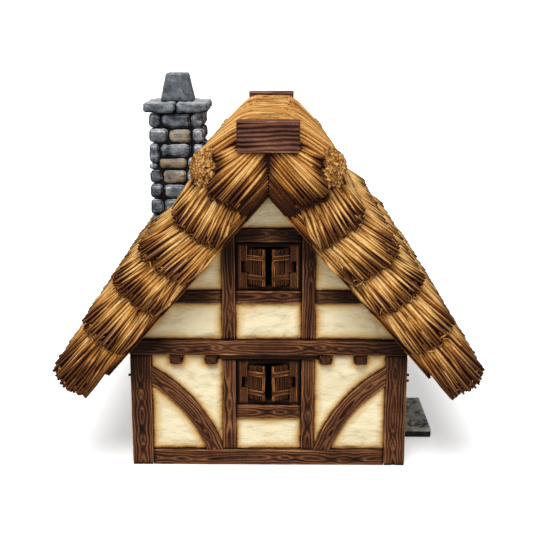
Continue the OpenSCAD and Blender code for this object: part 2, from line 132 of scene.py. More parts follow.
def box_mm(node: str) -> tuple[Array, Array]:
    """Lowest and highest corner of a CAD node's box, in millimetres."""
    low, high = (np.array(corner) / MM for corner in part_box(node))
    return low, high


@dataclass
class MeshData:
    """Plain arrays of one mesh, in millimetres, with a number per vertex for each named paint mask."""

    points: Array
    corners: Array
    sizes: Array
    masks: dict[str, Array] = field(default_factory=dict)

    @staticmethod
    def taken_from(shape: Shape) -> "MeshData":
        """Reads a bmesh, which is freed.

        Args:
            shape: Finished bmesh, in millimetres.

        Returns:
            Its arrays, with no masks yet.
        """
        mesh = bpy.data.meshes.new("taken")
        shape.to_mesh(mesh)
        shape.free()
        points = np.empty(len(mesh.vertices) * 3)
        mesh.vertices.foreach_get("co", points)
        corners = np.empty(len(mesh.loops), np.int32)
        mesh.loops.foreach_get("vertex_index", corners)
        sizes = np.empty(len(mesh.polygons), np.int32)
        mesh.polygons.foreach_get("loop_total", sizes)
        bpy.data.meshes.remove(mesh)
        return MeshData(points.reshape(-1, 3), corners, sizes)

    def repeated(self, places: Array, masks: dict[str, Array]) -> "MeshData":
        """Copies the faces of this shape for every set of moved points.

        Args:
            places: Points of each copy, copies by vertices by three.
            masks: Mask values, copies by vertices.

        Returns:
            All copies as one mesh.
        """
        count = len(places)
        shift = np.repeat(np.arange(count) * len(self.points), len(self.corners))
        corners = np.tile(self.corners, count) + shift
        flat = {name: value.reshape(-1) for name, value in masks.items()}
        return MeshData(places.reshape(-1, 3), corners, np.tile(self.sizes, count), flat)

    def rounded(self, low: Array, high: Array, radius: float) -> Array:
        """Rounds the edges of a gridded box.

        Args:
            low, high: Lowest and highest corner of the box.
            radius: Radius of the rounding.

        Returns:
            Outward direction at each point.
        """
        inner = np.clip(self.points, low + radius, high - radius)
        out = self.points - inner
        length = np.maximum(np.linalg.norm(out, axis=1), TINY)
        normal = out / length[:, None]
        self.points = inner + normal * np.minimum(length, radius)[:, None]
        return normal


def joined(parts: list[MeshData]) -> MeshData:
    """Joins meshes into one.

    Args:
        parts: Meshes, which hold the same masks.

    Returns:
        One mesh with all their faces.
    """
    starts = np.cumsum([0] + [len(p.points) for p in parts[:-1]])
    corners = np.concatenate([p.corners + start for p, start in zip(parts, starts)])
    masks = {name: np.concatenate([p.masks[name] for p in parts]) for name in parts[0].masks}
    points = np.concatenate([p.points for p in parts])
    return MeshData(points, corners, np.concatenate([p.sizes for p in parts]), masks)


def publish(name: str, data: MeshData, finish: Material, slot: str, *stands_for: str) -> None:
    """Makes an object of a mesh and hands it to the frame.

    Args:
        name: Name of the piece.
        data: Its mesh, in millimetres.
        finish: Its material.
        slot: Material slot of the record that the finish belongs to; not used.
        *stands_for: CAD nodes that the piece replaces.
    """
    mesh = bpy.data.meshes.new(name)
    mesh.vertices.add(len(data.points))
    mesh.vertices.foreach_set("co", (data.points * MM).astype(np.float32).ravel())
    mesh.loops.add(len(data.corners))
    mesh.loops.foreach_set("vertex_index", data.corners.astype(np.int32))
    mesh.polygons.add(len(data.sizes))
    starts = np.concatenate([[0], np.cumsum(data.sizes)[:-1]]).astype(np.int32)
    mesh.polygons.foreach_set("loop_start", starts)
    mesh.polygons.foreach_set("use_smooth", np.full(len(data.sizes), True))
    for mask, values in data.masks.items():
        layer = mesh.attributes.new(mask, "FLOAT", "POINT")
        layer.data.foreach_set("value", values.astype(np.float32))
    mesh.update(calc_edges=True)
    mesh.validate()
    piece = bpy.data.objects.new(name, mesh)
    bpy.context.scene.collection.objects.link(piece)
    mesh.materials.append(finish)
    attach(piece, BODY)
    if stands_for:
        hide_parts(*stands_for)
    mesh.calc_loop_triangles()
    LOG.info("%s: %d triangles", name, len(mesh.loop_triangles))


def dress(node: str, finish: Material) -> None:
    """Gives a CAD node that still shows in places its own finish.

    Args:
        node: Name of the CAD node.
        finish: Its material.
    """
    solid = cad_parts[node]
    solid.data.materials.clear()
    solid.data.materials.append(finish)
    LOG.info("%s: kept, with %s", node, finish.name)


@dataclass
class Solid:
    """One loose solid of a CAD node: its merged bmesh, in millimetres, and its box."""

    shape: Shape
    low: Array
    high: Array

    @property
    def size(self) -> Array:
        """Lengths of the box's sides."""
        return self.high - self.low

    def outer(self, depth: int) -> float:
        """Place of the face that looks away from the middle of the house."""
        return self.high[depth] if self.high[depth] > 0 else self.low[depth]

    def slanted(self) -> list[tuple[Vector, Vector]]:
        """Planes of its faces that lie along no side of its box, each once.

        Returns:
            Point and outward normal of each plane.
        """
        found: list[tuple[Vector, Vector]] = []
        for face in self.shape.faces:
            if max(abs(c) for c in face.normal) > 0.999:
                continue
            if all(face.normal.dot(normal) < 0.9999 for _, normal in found):
                found.append((face.verts[0].co.copy(), face.normal.copy()))
        return found


def solids_of(node: str) -> list[Solid]:
    """Splits a merged copy of a CAD node into its loose solids.

    Args:
        node: Name of the CAD node.

    Returns:
        The solids, in the order of their first vertices.
    """
    whole = bmesh.new()
    whole.from_mesh(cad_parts[node].data)
    bmesh.ops.remove_doubles(whole, verts=whole.verts, dist=MERGE_M)
    bmesh.ops.scale(whole, vec=(1 / MM,) * 3, verts=whole.verts)
    whole.verts.ensure_lookup_table()
    group = [-1] * len(whole.verts)
    count = 0
    for seed in whole.verts:
        if group[seed.index] >= 0:
            continue
        waiting = [seed]
        group[seed.index] = count
        while waiting:
            vertex = waiting.pop()
            for edge in vertex.link_edges:
                other = edge.other_vert(vertex)
                if group[other.index] < 0:
                    group[other.index] = count
                    waiting.append(other)
        count += 1
    solids = []
    for number in range(count):
        part = whole.copy()
        part.verts.ensure_lookup_table()
        others = [v for v in part.verts if group[v.index] != number]
        bmesh.ops.delete(part, geom=others, context="VERTS")
        part.normal_update()
        places = np.array([v.co for v in part.verts])
        solids.append(Solid(part, places.min(0), places.max(0)))
    whole.free()
    return solids


def publish_each(nodes: tuple[str, ...], ending: str, finish: Material, slot: str,
                 make: Callable[[Solid, int], MeshData], seeds: tuple[int, int, int]) -> None:
    """Builds one piece in the place of each CAD node, from its solids.

    Args:
        nodes: Names of the CAD nodes.
        ending: What a node's name is given to name its piece.
        finish: Material of the pieces.
        slot: Material slot of the record.
        make: Makes what stands in a solid's place, from the solid and a seed.
        seeds: First seed, seeds for each node and seeds for each solid.
    """
    first, each_node, each_solid = seeds
    for order, node in enumerate(nodes):
        start = first + each_node * order
        parts = [make(solid, start + each_solid * number) for number, solid in enumerate(solids_of(node))]
        publish(node + ending, joined(parts), finish, slot, node)


def gridded_box(low: Array, high: Array, cuts: tuple[int, ...]) -> Shape:
    """Box whose faces are cut into a grid.

    Args:
        low, high: Lowest and highest corner.
        cuts: Cuts across the edges that run along X, Y and Z.

    Returns:
        The box.
    """
    shape = bmesh.new()
    bmesh.ops.create_cube(shape, size=1)
    for axis, count in enumerate(cuts):
        if count < 1:
            continue
        along = [e for e in shape.edges if abs((e.verts[1].co - e.verts[0].co)[axis]) > FLUSH]
        bmesh.ops.subdivide_edges(shape, edges=along, cuts=count, use_grid_fill=True)
    bmesh.ops.scale(shape, vec=Vector(high - low), verts=shape.verts)
    bmesh.ops.translate(shape, vec=Vector((high + low) / 2), verts=shape.verts)
    return shape


def stepped_box(low: Array, high: Array, steps: Array) -> Shape:
    """Box whose faces are cut into a grid of about the given steps along X, Y and Z."""
    cuts = tuple(max(1, round(length / step) - 1) for length, step in zip(high - low, steps))
    return gridded_box(low, high, cuts)


def bisect(shape: Shape, place: Vector, normal: Vector, clear_outer: bool = False) -> None:
    """Cuts every face of a shape along a plane, and clears what lies in front of it if asked to."""
    everything = shape.verts[:] + shape.edges[:] + shape.faces[:]
    bmesh.ops.bisect_plane(shape, geom=everything, dist=CUT_SLACK, plane_co=place, plane_no=normal,
                           clear_outer=clear_outer)


def sliced(shape: Shape, low: Array, high: Array, step: dict[Axis, float]) -> None:
    """Cuts a bmesh into a grid by planes at even distances.

    Args:
        shape: The bmesh, changed in place.
        low, high: Lowest and highest corner of its box.
        step: Distance between the planes for each axis that is cut.
    """
    for axis, distance in step.items():
        normal = Vector(np.eye(3)[axis.value])
        count = max(1, round((high - low)[axis.value] / distance))
        for place in np.linspace(low[axis.value], high[axis.value], count + 1)[1:-1]:
            bisect(shape, normal * place, normal)


def trim(shape: Shape, planes: list[tuple[Vector, Vector]]) -> None:
    """Cuts away what lies in front of some planes and closes the cuts.

    Args:
        shape: Shape to cut.
        planes: Point and normal of each plane.
    """
    for place, normal in planes:
        bisect(shape, place, normal, clear_outer=True)
        rim = [edge for edge in shape.edges if edge.is_boundary]
        bmesh.ops.holes_fill(shape, edges=rim, sides=0)


def add_node(tree: NodeTree, kind: str, inputs: dict | None = None,
             stops: list[tuple[float, str]] | None = None, **settings: object) -> Node:
    """Adds one node, sets it and links it.

    Args:
        tree: Node tree of a material or of the world.
        kind: Type of the node, without the words that all shader nodes share.
        inputs: Value, or node or socket to link from, for each input by name or number.
        stops: Places and hex colours of a colour ramp.
        **settings: Properties of the node itself.

    Returns:
        The node.
    """
    node = tree.nodes.new("ShaderNode" + kind)
    for name, value in settings.items():
        setattr(node, name, value)
    for key, value in (inputs or {}).items():
        if isinstance(value, Node):
            value = value.outputs[0]
        if isinstance(value, NodeSocket):
            tree.links.new(value, node.inputs[key])
        else:
            node.inputs[key].default_value = value
    if stops:
        elements = node.color_ramp.elements
        while len(elements) < len(stops):
            elements.new(1.0)
        for element, (place, code) in zip(elements, stops):
            element.position = place
            element.color = linear(code)
    return node


def emptied(owner: Material | World) -> NodeTree:
    """Empties the node tree of a new material or world.

    Args:
        owner: The material or world.

    Returns:
        Its node tree.
    """
    owner.use_nodes = True
    owner.node_tree.nodes.clear()
    return owner.node_tree


@dataclass(frozen=True)
class Paint:
    """Matte acrylic paint on a cast resin model: dark wash in the hollows, dry-brushed on what stands out.

    The eye sees no gloss, a colour that follows the relief, and a slight uneven tone over some millimetres.

    Attributes:
        mask: Vertex mask that drives the colour, along the stops from hollow to crest.
        blotch_mm, blotch: Size of the uneven patches, and how far they shift the mask.
        stretch, swell_mm: How many times longer than high the patches are, and how far they swell.
        fleck_mm, fleck: Size of the fine tooth of the paint, and how far it shifts the mask.
        tint_mask, tint, tint_share: Mask, colour and greatest share of a second tone that is laid over.
        noise_span: Values of the noise that count as its least and its most.
    """

    name: str
    mask: str
    stops: tuple[tuple[float, str], ...]
    blotch_mm: float = 7.0
    blotch: float = 0.12
    stretch: float = 1.0
    swell_mm: float = 0.0
    fleck_mm: float = 0.7
    fleck: float = 0.08
    tint_mask: str = ""
    tint: str = "#000000"
    tint_share: float = 1.0
    rough: float = 0.78
    bump_mm: float = 0.05
    noise_span: Span = (0.25, 0.75)
    relief: float = 0.6
    sheen: float = 0.08

    def material(self) -> Material:
        """Builds the material's nodes.

        Returns:
            The material.
        """
        made = bpy.data.materials.new(self.name)
        tree = emptied(made)
        place = add_node(tree, "TexCoord").outputs["Object"]
        total = add_node(tree, "Attribute", attribute_name=self.mask).outputs["Fac"]
        drawn = add_node(tree, "VectorMath", {0: place, 1: (1.0, 1.0, self.stretch)},
                         operation="MULTIPLY")
        patches = add_node(tree, "TexNoise",
                           {"Vector": drawn, "Scale": 1 / (self.blotch_mm * MM), "Detail": 3.0})
        tooth = add_node(tree, "TexNoise",
                         {"Vector": place, "Scale": 1 / (self.fleck_mm * MM), "Detail": 2.0})
        least, most = self.noise_span
        for noise, share in ((patches, self.blotch), (tooth, self.fleck)):
            swing = add_node(tree, "MapRange",
                             {"Value": noise, "From Min": least, "From Max": most,
                              "To Min": -share, "To Max": share})
            total = add_node(tree, "Math", {0: total, 1: swing}, operation="ADD")
        shade = add_node(tree, "ValToRGB", {"Fac": total}, stops=list(self.stops)).outputs["Color"]
        if self.tint_mask:
            laid = add_node(tree, "Attribute", attribute_name=self.tint_mask).outputs["Fac"]
            share = add_node(tree, "Math", {0: laid, 1: self.tint_share}, operation="MULTIPLY",
                             use_clamp=True)
            shade = add_node(tree, "Mix", {"Factor": share, "A": shade, "B": linear(self.tint)},
                             data_type="RGBA").outputs[2]
        swell = add_node(tree, "Bump",
                         {"Height": patches, "Strength": self.relief, "Distance": self.swell_mm * MM})
        bump = add_node(tree, "Bump",
                        {"Height": tooth, "Strength": self.relief, "Distance": self.bump_mm * MM,
                         "Normal": swell})
        skin = add_node(tree, "BsdfPrincipled",
                        {"Base Color": shade, "Roughness": self.rough, "Specular IOR Level": self.sheen,
                         "Normal": bump})
        add_node(tree, "OutputMaterial", {"Surface": skin})
        return made


# Oak of the frame: red-brown, almost black in the carved grooves and joints, tan on the ridges of the grain;
# painted shade under the thatch
OAK = Paint(
    "painted_oak", "wash",
    ((0.0, "#0d0503"), (0.28, "#2e190f"), (0.58, "#55321e"), (0.84, "#835636"), (1.0, "#b18054")),
    blotch=0.1, fleck=0.06, tint_mask="joint_and_shade", tint="#0d0603", tint_share=0.92, rough=0.7)
# Boards of the shutters and window frames: browner, more heavily dry-brushed on the arrises; painted shade
# under the thatch
BOARDS = Paint(
    "painted_boards", "wash",
    ((0.0, "#0c0502"), (0.35, "#2c160b"), (0.7, "#523018"), (0.92, "#875430"), (1.0, "#b98048")),
    blotch=0.08, fleck=0.06, tint_mask="joint_and_shade", tint="#080402", rough=0.7)
# Lime plaster: cream, ochre wash along the timbers, near-black rim line; creases tinted as wash and as
# painted shade, painted shade under the thatch
PLASTER = Paint(
    "limewashed_plaster", "rim",
    ((0.0, "#3a1c0d"), (0.07, "#a8763c"), (0.18, "#c6985c"), (0.42, "#d9bf8d"),
     (0.86, "#e8dcb8")),
    blotch_mm=7.5, blotch=0.06, stretch=1.7, swell_mm=3.2, fleck_mm=1.1, fleck=0.04,
    tint_mask="crease_and_shade", tint="#bd9c63", tint_share=0.55, rough=0.85, bump_mm=0.08)
# Wheat straw: golden on the crown of each strand, brown down its flanks, near black between strands, tips
# washed dark, roots painted as shadow
STRAW = Paint(
    "wheat_straw", "crest",
    ((0.0, "#190a06"), (0.28, "#512b12"), (0.52, "#915926"), (0.76, "#c98d43"), (1.0, "#f1c985")),
    blotch_mm=9.0, blotch=0.1, fleck_mm=0.6, fleck=0.1, tint_mask="tip", tint="#2c130c",
    tint_share=0.95, rough=0.75)
# Straw in the shade of the strands: what shows between them is wash alone
STRAW_CORE = Paint(
    "washed_straw_core", "none",
    ((0.0, "#1c0d08"), (0.5, "#2e180d"), (1.0, "#4a2c14")), blotch=0.3, fleck=0.3)
# Red-brown hewn wood of the ridge blocks
BLOCK = Paint(
    "hewn_block", "wash",
    ((0.0, "#0d0504"), (0.35, "#381f17"), (0.7, "#6b4433"), (0.95, "#a0705a"), (1.0, "#b98a70")),
    blotch=0.08, fleck=0.06, tint_mask="joint_and_shade", tint="#150a07", tint_share=0.9, rough=0.7)
# Slate-grey rubble: blue-grey stones with pale dry-brushed brows and tops painted paler as light, some of
# them taupe
RUBBLE = Paint(
    "slate_rubble", "crest",
    ((0.0, "#121417"), (0.35, "#3a3f46"), (0.65, "#6a6f76"), (0.88, "#9da1a5"), (1.0, "#c9cbcb")),
    blotch_mm=4.0, blotch=0.2, stretch=2.2, swell_mm=1.8, fleck_mm=0.8, fleck=0.12,
    tint_mask="taupe", tint="#b79c72", tint_share=0.5, rough=0.8, bump_mm=0.12)
# Cap and pot of the chimney: the same slate, in larger dressed pieces
CAPSTONE = Paint(
    "weathered_capstone", "crest",
    ((0.0, "#202225"), (0.35, "#4a4e53"), (0.65, "#6b7076"), (0.88, "#92969b"),
     (1.0, "#b4b7b9")),
    blotch_mm=4.0, blotch=0.14, stretch=2.0, swell_mm=1.4, fleck_mm=0.8, fleck=0.1,
    tint_mask="joint_and_shade", tint="#0b0b0c", tint_share=0.95, rough=0.8, bump_mm=0.12)
# Mortar in shade: nearly black
MORTAR = Paint("dark_mortar", "none", ((0.0, "#101113"), (1.0, "#2b2d30")), blotch=0.3, fleck=0.3)
# Green-grey slab of the doorstep
FLAG = Paint(
    "flagstone", "crest",
    ((0.0, "#121313"), (0.3, "#42443f"), (0.6, "#a8aaa1"), (1.0, "#d2d4ca")),
    blotch_mm=5.0, blotch=0.1, fleck_mm=0.8, fleck=0.1, tint_mask="joint_and_shade", tint="#0d0f10",
    tint_share=0.9, rough=0.75, bump_mm=0.1)
# Bare floor boards inside, in the dark
INSIDE = Paint("floor_boards", "none", ((0.0, "#20140c"), (1.0, "#3c2818")), blotch=0.3, fleck=0.3)


@dataclass
class Studio:
    """White sweep, soft light from the front and above, and the camera of the photograph."""

    floor_half: float = 6000.0
    floor_white: float = 0.95
    floor_lift: float = 0.36
    sky: float = 0.52
    key: float = 2.42
    key_turn: tuple[float, float] = (33.0, -12.0)
    key_soft: float = 32.0
    eye: tuple[float, float, float] = (3.70, -446.58, 173.74)
    tilt: float = 13.59
    turn: float = 0.684
    focal_px: float = 1000.0
    image_px: float = 533.0
    sensor: float = 36.0
    seen_from: float = 10.0
    seen_to: float = 50000.0

    def build(self) -> None:
        """Builds the floor, the light, the world and the camera."""
        scene = bpy.context.scene
        scene.view_settings.view_transform = "Standard"
        self.lay_floor()
        self.light()
        lens = bpy.data.cameras.new("camera")
        lens.sensor_width = self.sensor
        lens.lens = self.focal_px / self.image_px * self.sensor
        lens.clip_start = self.seen_from * MM
        lens.clip_end = self.seen_to * MM
        camera = bpy.data.objects.new("camera", lens)
        camera.location = Vector(self.eye) * MM
        camera.rotation_euler = (math.radians(90 - self.tilt), 0.0, math.radians(self.turn))
        scene.collection.objects.link(camera)
        scene.camera = camera

    def lay_floor(self) -> None:
        """Lays the floor, whose white is lifted a little for the camera so that it meets the backdrop."""
        shape = bmesh.new()
        bmesh.ops.create_grid(shape, x_segments=1, y_segments=1, size=self.floor_half * MM)
        mesh = bpy.data.meshes.new("floor")
        shape.to_mesh(mesh)
        shape.free()
        floor = bpy.data.objects.new("floor", mesh)
        bpy.context.scene.collection.objects.link(floor)
        paper = bpy.data.materials.new("white_paper")
        tree = emptied(paper)
        seen = add_node(tree, "LightPath").outputs["Is Camera Ray"]
        lift = add_node(tree, "Math", {0: seen, 1: self.floor_lift}, operation="MULTIPLY")
        skin = add_node(tree, "BsdfPrincipled",
                        {"Base Color": (*(self.floor_white,) * 3, 1.0), "Roughness": 1.0,
                         "Specular IOR Level": 0.0,
                         "Emission Color": (1.0, 1.0, 1.0, 1.0), "Emission Strength": lift})
        add_node(tree, "OutputMaterial", {"Surface": skin})
        mesh.materials.append(paper)

    def light(self) -> None:
        """Sets the even white sky, seen as pure white, and the broad key lamp."""
        world = bpy.data.worlds.new("studio")
        tree = emptied(world)
        path = add_node(tree, "LightPath").outputs
        direct = add_node(tree, "Math",
                          {0: path["Is Camera Ray"], 1: path["Is Transmission Ray"]}, operation="MAXIMUM")
        shown = add_node(tree, "Math", {0: direct, 1: path["Is Glossy Ray"]}, operation="MAXIMUM")
        power = add_node(tree, "MapRange", {"Value": shown, "To Min": self.sky, "To Max": 1.0})
        sky = add_node(tree, "Background", {"Color": (1.0, 1.0, 1.0, 1.0), "Strength": power})
        add_node(tree, "OutputWorld", {"Surface": sky})
        bpy.context.scene.world = world
        lamp = bpy.data.lights.new("key", "SUN")
        lamp.energy = self.key
        lamp.angle = math.radians(self.key_soft)
        key = bpy.data.objects.new("key", lamp)
        rise, side = (math.radians(a) for a in self.key_turn)
        key.rotation_euler = (rise, 0.0, side)
        bpy.context.scene.collection.objects.link(key)


ROOF_PITCH = math.radians(48.7)
# Underside of the roof over the wall plates' outer faces: its height, and half the width of the house
ROOF_FOOT = 49.4
HOUSE_HALF = 55.0
ROOF_APEX = ROOF_FOOT + HOUSE_HALF * math.tan(ROOF_PITCH)
# How far the thatch's shade, painted on the walls, their timbers and the shutters, reaches down them
ROOF_SHADE = 12.0


def painted_roof_shade(points: Array) -> Array:
    """Share of painted shade that points get in the dark corner under the thatch: 1 at the roof, 0 away from
    it.
    """
    gap = (ROOF_APEX - points[:, 2]) * math.cos(ROOF_PITCH) - np.abs(points[:, 0]) * math.sin(ROOF_PITCH)
    return near(np.maximum(gap, 0), ROOF_SHADE)


@dataclass
class Grain:
    """Carved grain of a painted timber and its rounded arrises."""

    pitch: float = 1.08
    depth: float = 0.42
    arris: float = 0.6
    arris_share: float = 0.22
    knot_half: float = 1.35
    knot_long: float = 4.6
    knot_every: float = 30.0
    knot_from: float = 1.9
    heart_off: float = 0.35
    sway_mm: Span = (19.0, 7.0)
    sway: float = 0.75
    ripple_mm: Span = (5.0, 1.6)
    ripple: float = 0.12
    fibre_mm: Span = (3.0, 0.8)
    fibre: float = 0.1
    worn_mm: float = 14.0
    joint_reach: float = 0.5
    edge_reach: float = 0.6
    patch_mm: tuple[float, float, float] = (16.0, 3.0, 3.0)

    def lines(self, along: Array, across: Array, half: float, length: float, seed: int) -> Array:
        """Height of the grain on one face of a timber, which flows round a few long knots.

        Args:
            along: Place along the timber.
            across: Place across the face, from its middle.
            half: Half width of the face.
            length: Length of the timber.
            seed: Picks the pattern.

        Returns:
            Height from 0 in a groove to 1 on a ridge.
        """
        rng = np.random.default_rng(seed)
        spots = np.stack([along, across], 1)
        bent = across + self.sway * value_noise(spots / self.sway_mm, seed)
        bent = bent + self.ripple * value_noise(spots / self.ripple_mm, seed + 1)
        middle = rng.uniform(-self.heart_off, self.heart_off) * half
        swell = np.zeros(len(along))
        if half > self.knot_from and self.knot_every > 0:
            count = max(1, round(length / self.knot_every))
            for place in (np.arange(count) + rng.uniform(0.25, 0.75, count)) * length / count:
                long = self.knot_long * rng.uniform(0.75, 1.25)
                share = (along - place) / long
                tall = min(self.knot_half, 0.55 * half) * rng.uniform(0.8, 1.15)
                swell = np.maximum(swell, tall * np.abs(share) * np.exp((1 - share ** 2) / 2))
        run = np.sqrt((bent - middle) ** 2 + swell ** 2) / self.pitch
        run += self.fibre * value_noise(spots / self.fibre_mm, seed + 2)
        wave = 0.5 + 0.5 * np.cos(2 * np.pi * run + rng.uniform(0, 1))
        deep = 0.72 + 0.35 * value_noise(np.stack([along / self.worn_mm, run * 1.1], 1), seed + 3)
        return 1 - np.clip(deep, 0.2, 1) * (1 - wave ** 0.85)

    def carve(self, places: Array, low: Array, high: Array, seed: int) -> tuple[Array, Array, Array]:
        """Rounds the arrises of a timber and carves its grain, both inwards only.

        Args:
            places: Points of its surface: along it, then the two ways across it.
            low, high: Lowest and highest corner of its box, in the same order.
            seed: Picks the pattern.

        Returns:
            Moved points, wash mask and joint mask.
        """
        size = high - low
        arris = min(self.arris, self.arris_share * min(size[1], size[2]))
        inset = np.array([arris * 0.5, arris, arris])
        core = np.clip(places, low + inset, high - inset)
        out = places - core
        reach = np.linalg.norm(out / inset, axis=1)
        gaps = np.minimum(np.abs(places - low), np.abs(places - high))
        skin = np.any(gaps < FLUSH, axis=1)
        normal = out / np.maximum(np.linalg.norm(out, axis=1), TINY)[:, None]
        rounded = core + out / np.maximum(reach, 1)[:, None]
        moved = np.where((skin & (reach > TINY))[:, None], rounded, places)
        height = np.ones(len(places))
        middle = (low + high) / 2
        for turn, (face, side) in enumerate(((1, -1), (1, 1), (2, -1), (2, 1))):
            here = skin & (normal[:, face] * side > 0.7)
            if not here.any():
                continue
            other = 3 - face
            height[here] = self.lines(places[here, 0] - low[0], places[here, other] - middle[other],
                                      size[other] / 2, size[0], seed * 7 + turn)
        ends = skin & (np.abs(normal[:, 0]) > 0.7)
        height[ends] = 0.55 + 0.3 * value_noise(places[ends] / 0.9, seed + 5)
        moved = moved - normal * ((1 - height) * self.depth * skin)[:, None]
        nearest = np.sort(gaps[:, 1:], axis=1)[:, 1]
        edge = near(nearest, self.edge_reach) * skin
        tone = 0.12 * value_noise(places / self.patch_mm, seed + 9)
        wash = np.clip(0.02 + 0.74 * height ** 1.1 + 0.3 * edge + tone, 0, 1)
        joint_and_shade = near(gaps[:, 0], self.joint_reach) * (np.abs(normal[:, 0]) < 0.9)
        return moved, wash, joint_and_shade

    def carve_along(self, data: MeshData, low: Array, high: Array, run: int, seed: int) -> None:
        """Carves a whole timber, whose wash and joint masks it sets.

        Args:
            data: The timber.
            low, high: Lowest and highest corner of its box.
            run: Axis of its grain.
            seed: Picks the pattern.
        """
        order = [run] + [axis for axis in range(3) if axis != run]
        moved, wash, joint_and_shade = self.carve(data.points[:, order], low[order], high[order], seed)
        data.points[:, order] = moved
        data.masks = {"wash": wash, "joint_and_shade": joint_and_shade}


@dataclass
class TimberFrame:
    """Posts, beams, studs, rails, braces and joists of the frame, with carved grain and knots."""

    straight: tuple[str, ...] = ("corner_posts", "sill_beams", "bressummers", "wall_plates", "front_studs",
                                 "front_rails", "rear_studs", "rear_rails", "side_studs", "side_rails")
    joists: tuple[str, ...] = ("floor_joists",)
    curved: tuple[str, ...] = ("front_braces", "rear_braces", "side_braces")
    fine: float = 0.29
    coarse: float = 1.5
    depth_step: float = 0.65
    joist_step: float = 0.8
    # Painted shade on the timbers under the thatch: its strength on level timbers, on uprights, and at most
    level_shade: float = 1.2
    upright_shade: float = 0.8
    most_shade: float = 0.9
    # Boards thinner than this are painted as lying in the bressummer's shade, at least this dark
    board_h: float = 3.0
    board_shade: float = 0.85
    brace_outer: float = 62.2
    brace_w: float = 6.4
    brace_foot: float = 0.5
    brace_spare: float = 6.0
    peg_in: float = 1.4
    peg_r: Span = (0.68, 0.5)
    peg_l: float = 1.5
    peg_proud: float = 0.15
    peg_round: float = 0.12
    left_pegs: tuple[float, ...] = (38.0,)
    right_pegs: tuple[float, ...] = (38.4, 36.0)
    grain: Grain = field(default_factory=Grain)

    def build(self) -> None:
        """Builds every timber, one piece for each CAD node."""
        oak = OAK.material()
        joist = partial(self.beam, fine=self.joist_step)
        publish_each(self.straight, "_carved", oak, "timber", self.beam, (0, 100, 1))
        publish_each(self.joists, "_carved", oak, "timber", joist, (1000, 100, 1))
        publish_each(self.curved, "_carved", oak, "timber", self.brace, (5000, 100, 1))
        self.pegs(oak)

    def beam(self, solid: Solid, seed: int, fine: float | None = None) -> MeshData:
        """Straight timber in the place of a CAD solid.

        Args:
            solid: The CAD solid.
            seed: Picks the pattern.
            fine: Step of the mesh across the grain, if not the usual one.

        Returns:
            The carved timber.
        """
        run = int(np.argmax(solid.size))
        level = run != Axis.Z.value
        steps = np.full(3, fine or self.fine)
        if level:
            steps[1 - run] = max(steps[1 - run], self.depth_step)
        steps[run] = self.coarse
        shape = stepped_box(solid.low, solid.high, steps)
        trim(shape, solid.slanted())
        solid.shape.free()
        data = MeshData.taken_from(shape)
        # Painted shade under the thatch, and on thin boards under the bressummer, goes into the mask of dark
        # joints
        shade = (self.level_shade if level else self.upright_shade) * painted_roof_shade(data.points)
        shade = np.minimum(shade, self.most_shade)
        if level and solid.size[2] < self.board_h:
            shade = np.maximum(shade, self.board_shade)
        self.grain.carve_along(data, solid.low, solid.high, run, seed)
        data.masks["joint_and_shade"] = np.maximum(data.masks["joint_and_shade"], shade)
        return data

    def brace(self, solid: Solid, seed: int) -> MeshData:
        """Curved timber in the place of a CAD solid, carved along its arc.

        Args:
            solid: The CAD solid.
            seed: Picks the pattern.

        Returns:
            The carved timber.
        """
        depth = int(np.argmin(solid.size))
        level = 1 - depth
        centre, side = self.arc(solid, level)
        inner, outer = self.brace_outer - self.brace_w, self.brace_outer
        middle = (inner + outer) / 2

        def bent(places: Array) -> Array:
            """Bends a straight timber along the arc.

            Args:
                places: Places along the arc, out from its centre and through the wall.

            Returns:
                Points in the shared frame.
            """
            points = np.empty_like(places)
            points[:, level] = side * (centre[0] - places[:, 1] * np.cos(places[:, 0] / middle))
            points[:, 2] = centre[1] + places[:, 1] * np.sin(places[:, 0] / middle)
            points[:, depth] = places[:, 2]
            return points

        def straight(points: Array) -> Array:
            """Straightens a bent timber again.

            Args:
                points: Points in the shared frame.

            Returns:
                Places along the arc, out from its centre and through the wall.
            """
            away = points[:, [level, 2]] * np.array([side, 1]) - centre
            turn = np.arctan2(away[:, 1], -away[:, 0])
            return np.stack([turn * middle, np.linalg.norm(away, axis=1), points[:, depth]], 1)

        run = straight(np.array([v.co for v in solid.shape.verts]))[:, 0]
        low = np.array([run.min() - self.brace_spare, inner, solid.low[depth]])
        high = np.array([run.max() + self.brace_spare, outer, solid.high[depth]])
        steps = (self.coarse, self.fine, self.fine * 2)
        shape = gridded_box(low, high, tuple(round(size / step) for size, step in zip(high - low, steps)))
        for vert, spot in zip(shape.verts, bent(np.array([v.co for v in shape.verts]))):
            vert.co = spot
        walls = []
        for axis in (level, 2):
            for corner, way in ((solid.low, -1.0), (solid.high, 1.0)):
                walls.append((Vector(corner), Vector(way * np.eye(3)[axis])))
        trim(shape, walls)
        bmesh.ops.recalc_face_normals(shape, faces=shape.faces[:])
        solid.shape.free()
        data = MeshData.taken_from(shape)
        moved, wash, _ = self.grain.carve(straight(data.points), low, high, seed)
        data.points = bent(moved)
        data.masks = {"wash": wash, "joint_and_shade": np.zeros(len(wash))}
        return data

    def arc(self, solid: Solid, level: int) -> tuple[Array, float]:
        """Centre of the arc that a brace follows, in the plane of its wall, on the side away from the stud.

        Args:
            solid: The CAD solid of the brace.
            level: Axis that runs along the wall.

        Returns:
            Centre, with the place along the wall counted outwards, and which way outwards is.
        """
        ends = np.array([solid.low[level], solid.high[level]])
        side = float(np.sign(ends.mean()))
        head = np.array([np.abs(ends).max(), solid.high[2]])
        foot = np.array([np.abs(ends).min(), solid.low[2] + self.brace_foot])
        chord = head - foot
        length = np.linalg.norm(chord)
        across = np.array([chord[1], -chord[0]]) / length
        return (head + foot) / 2 + across * math.sqrt(self.brace_outer ** 2 - length ** 2 / 4), side

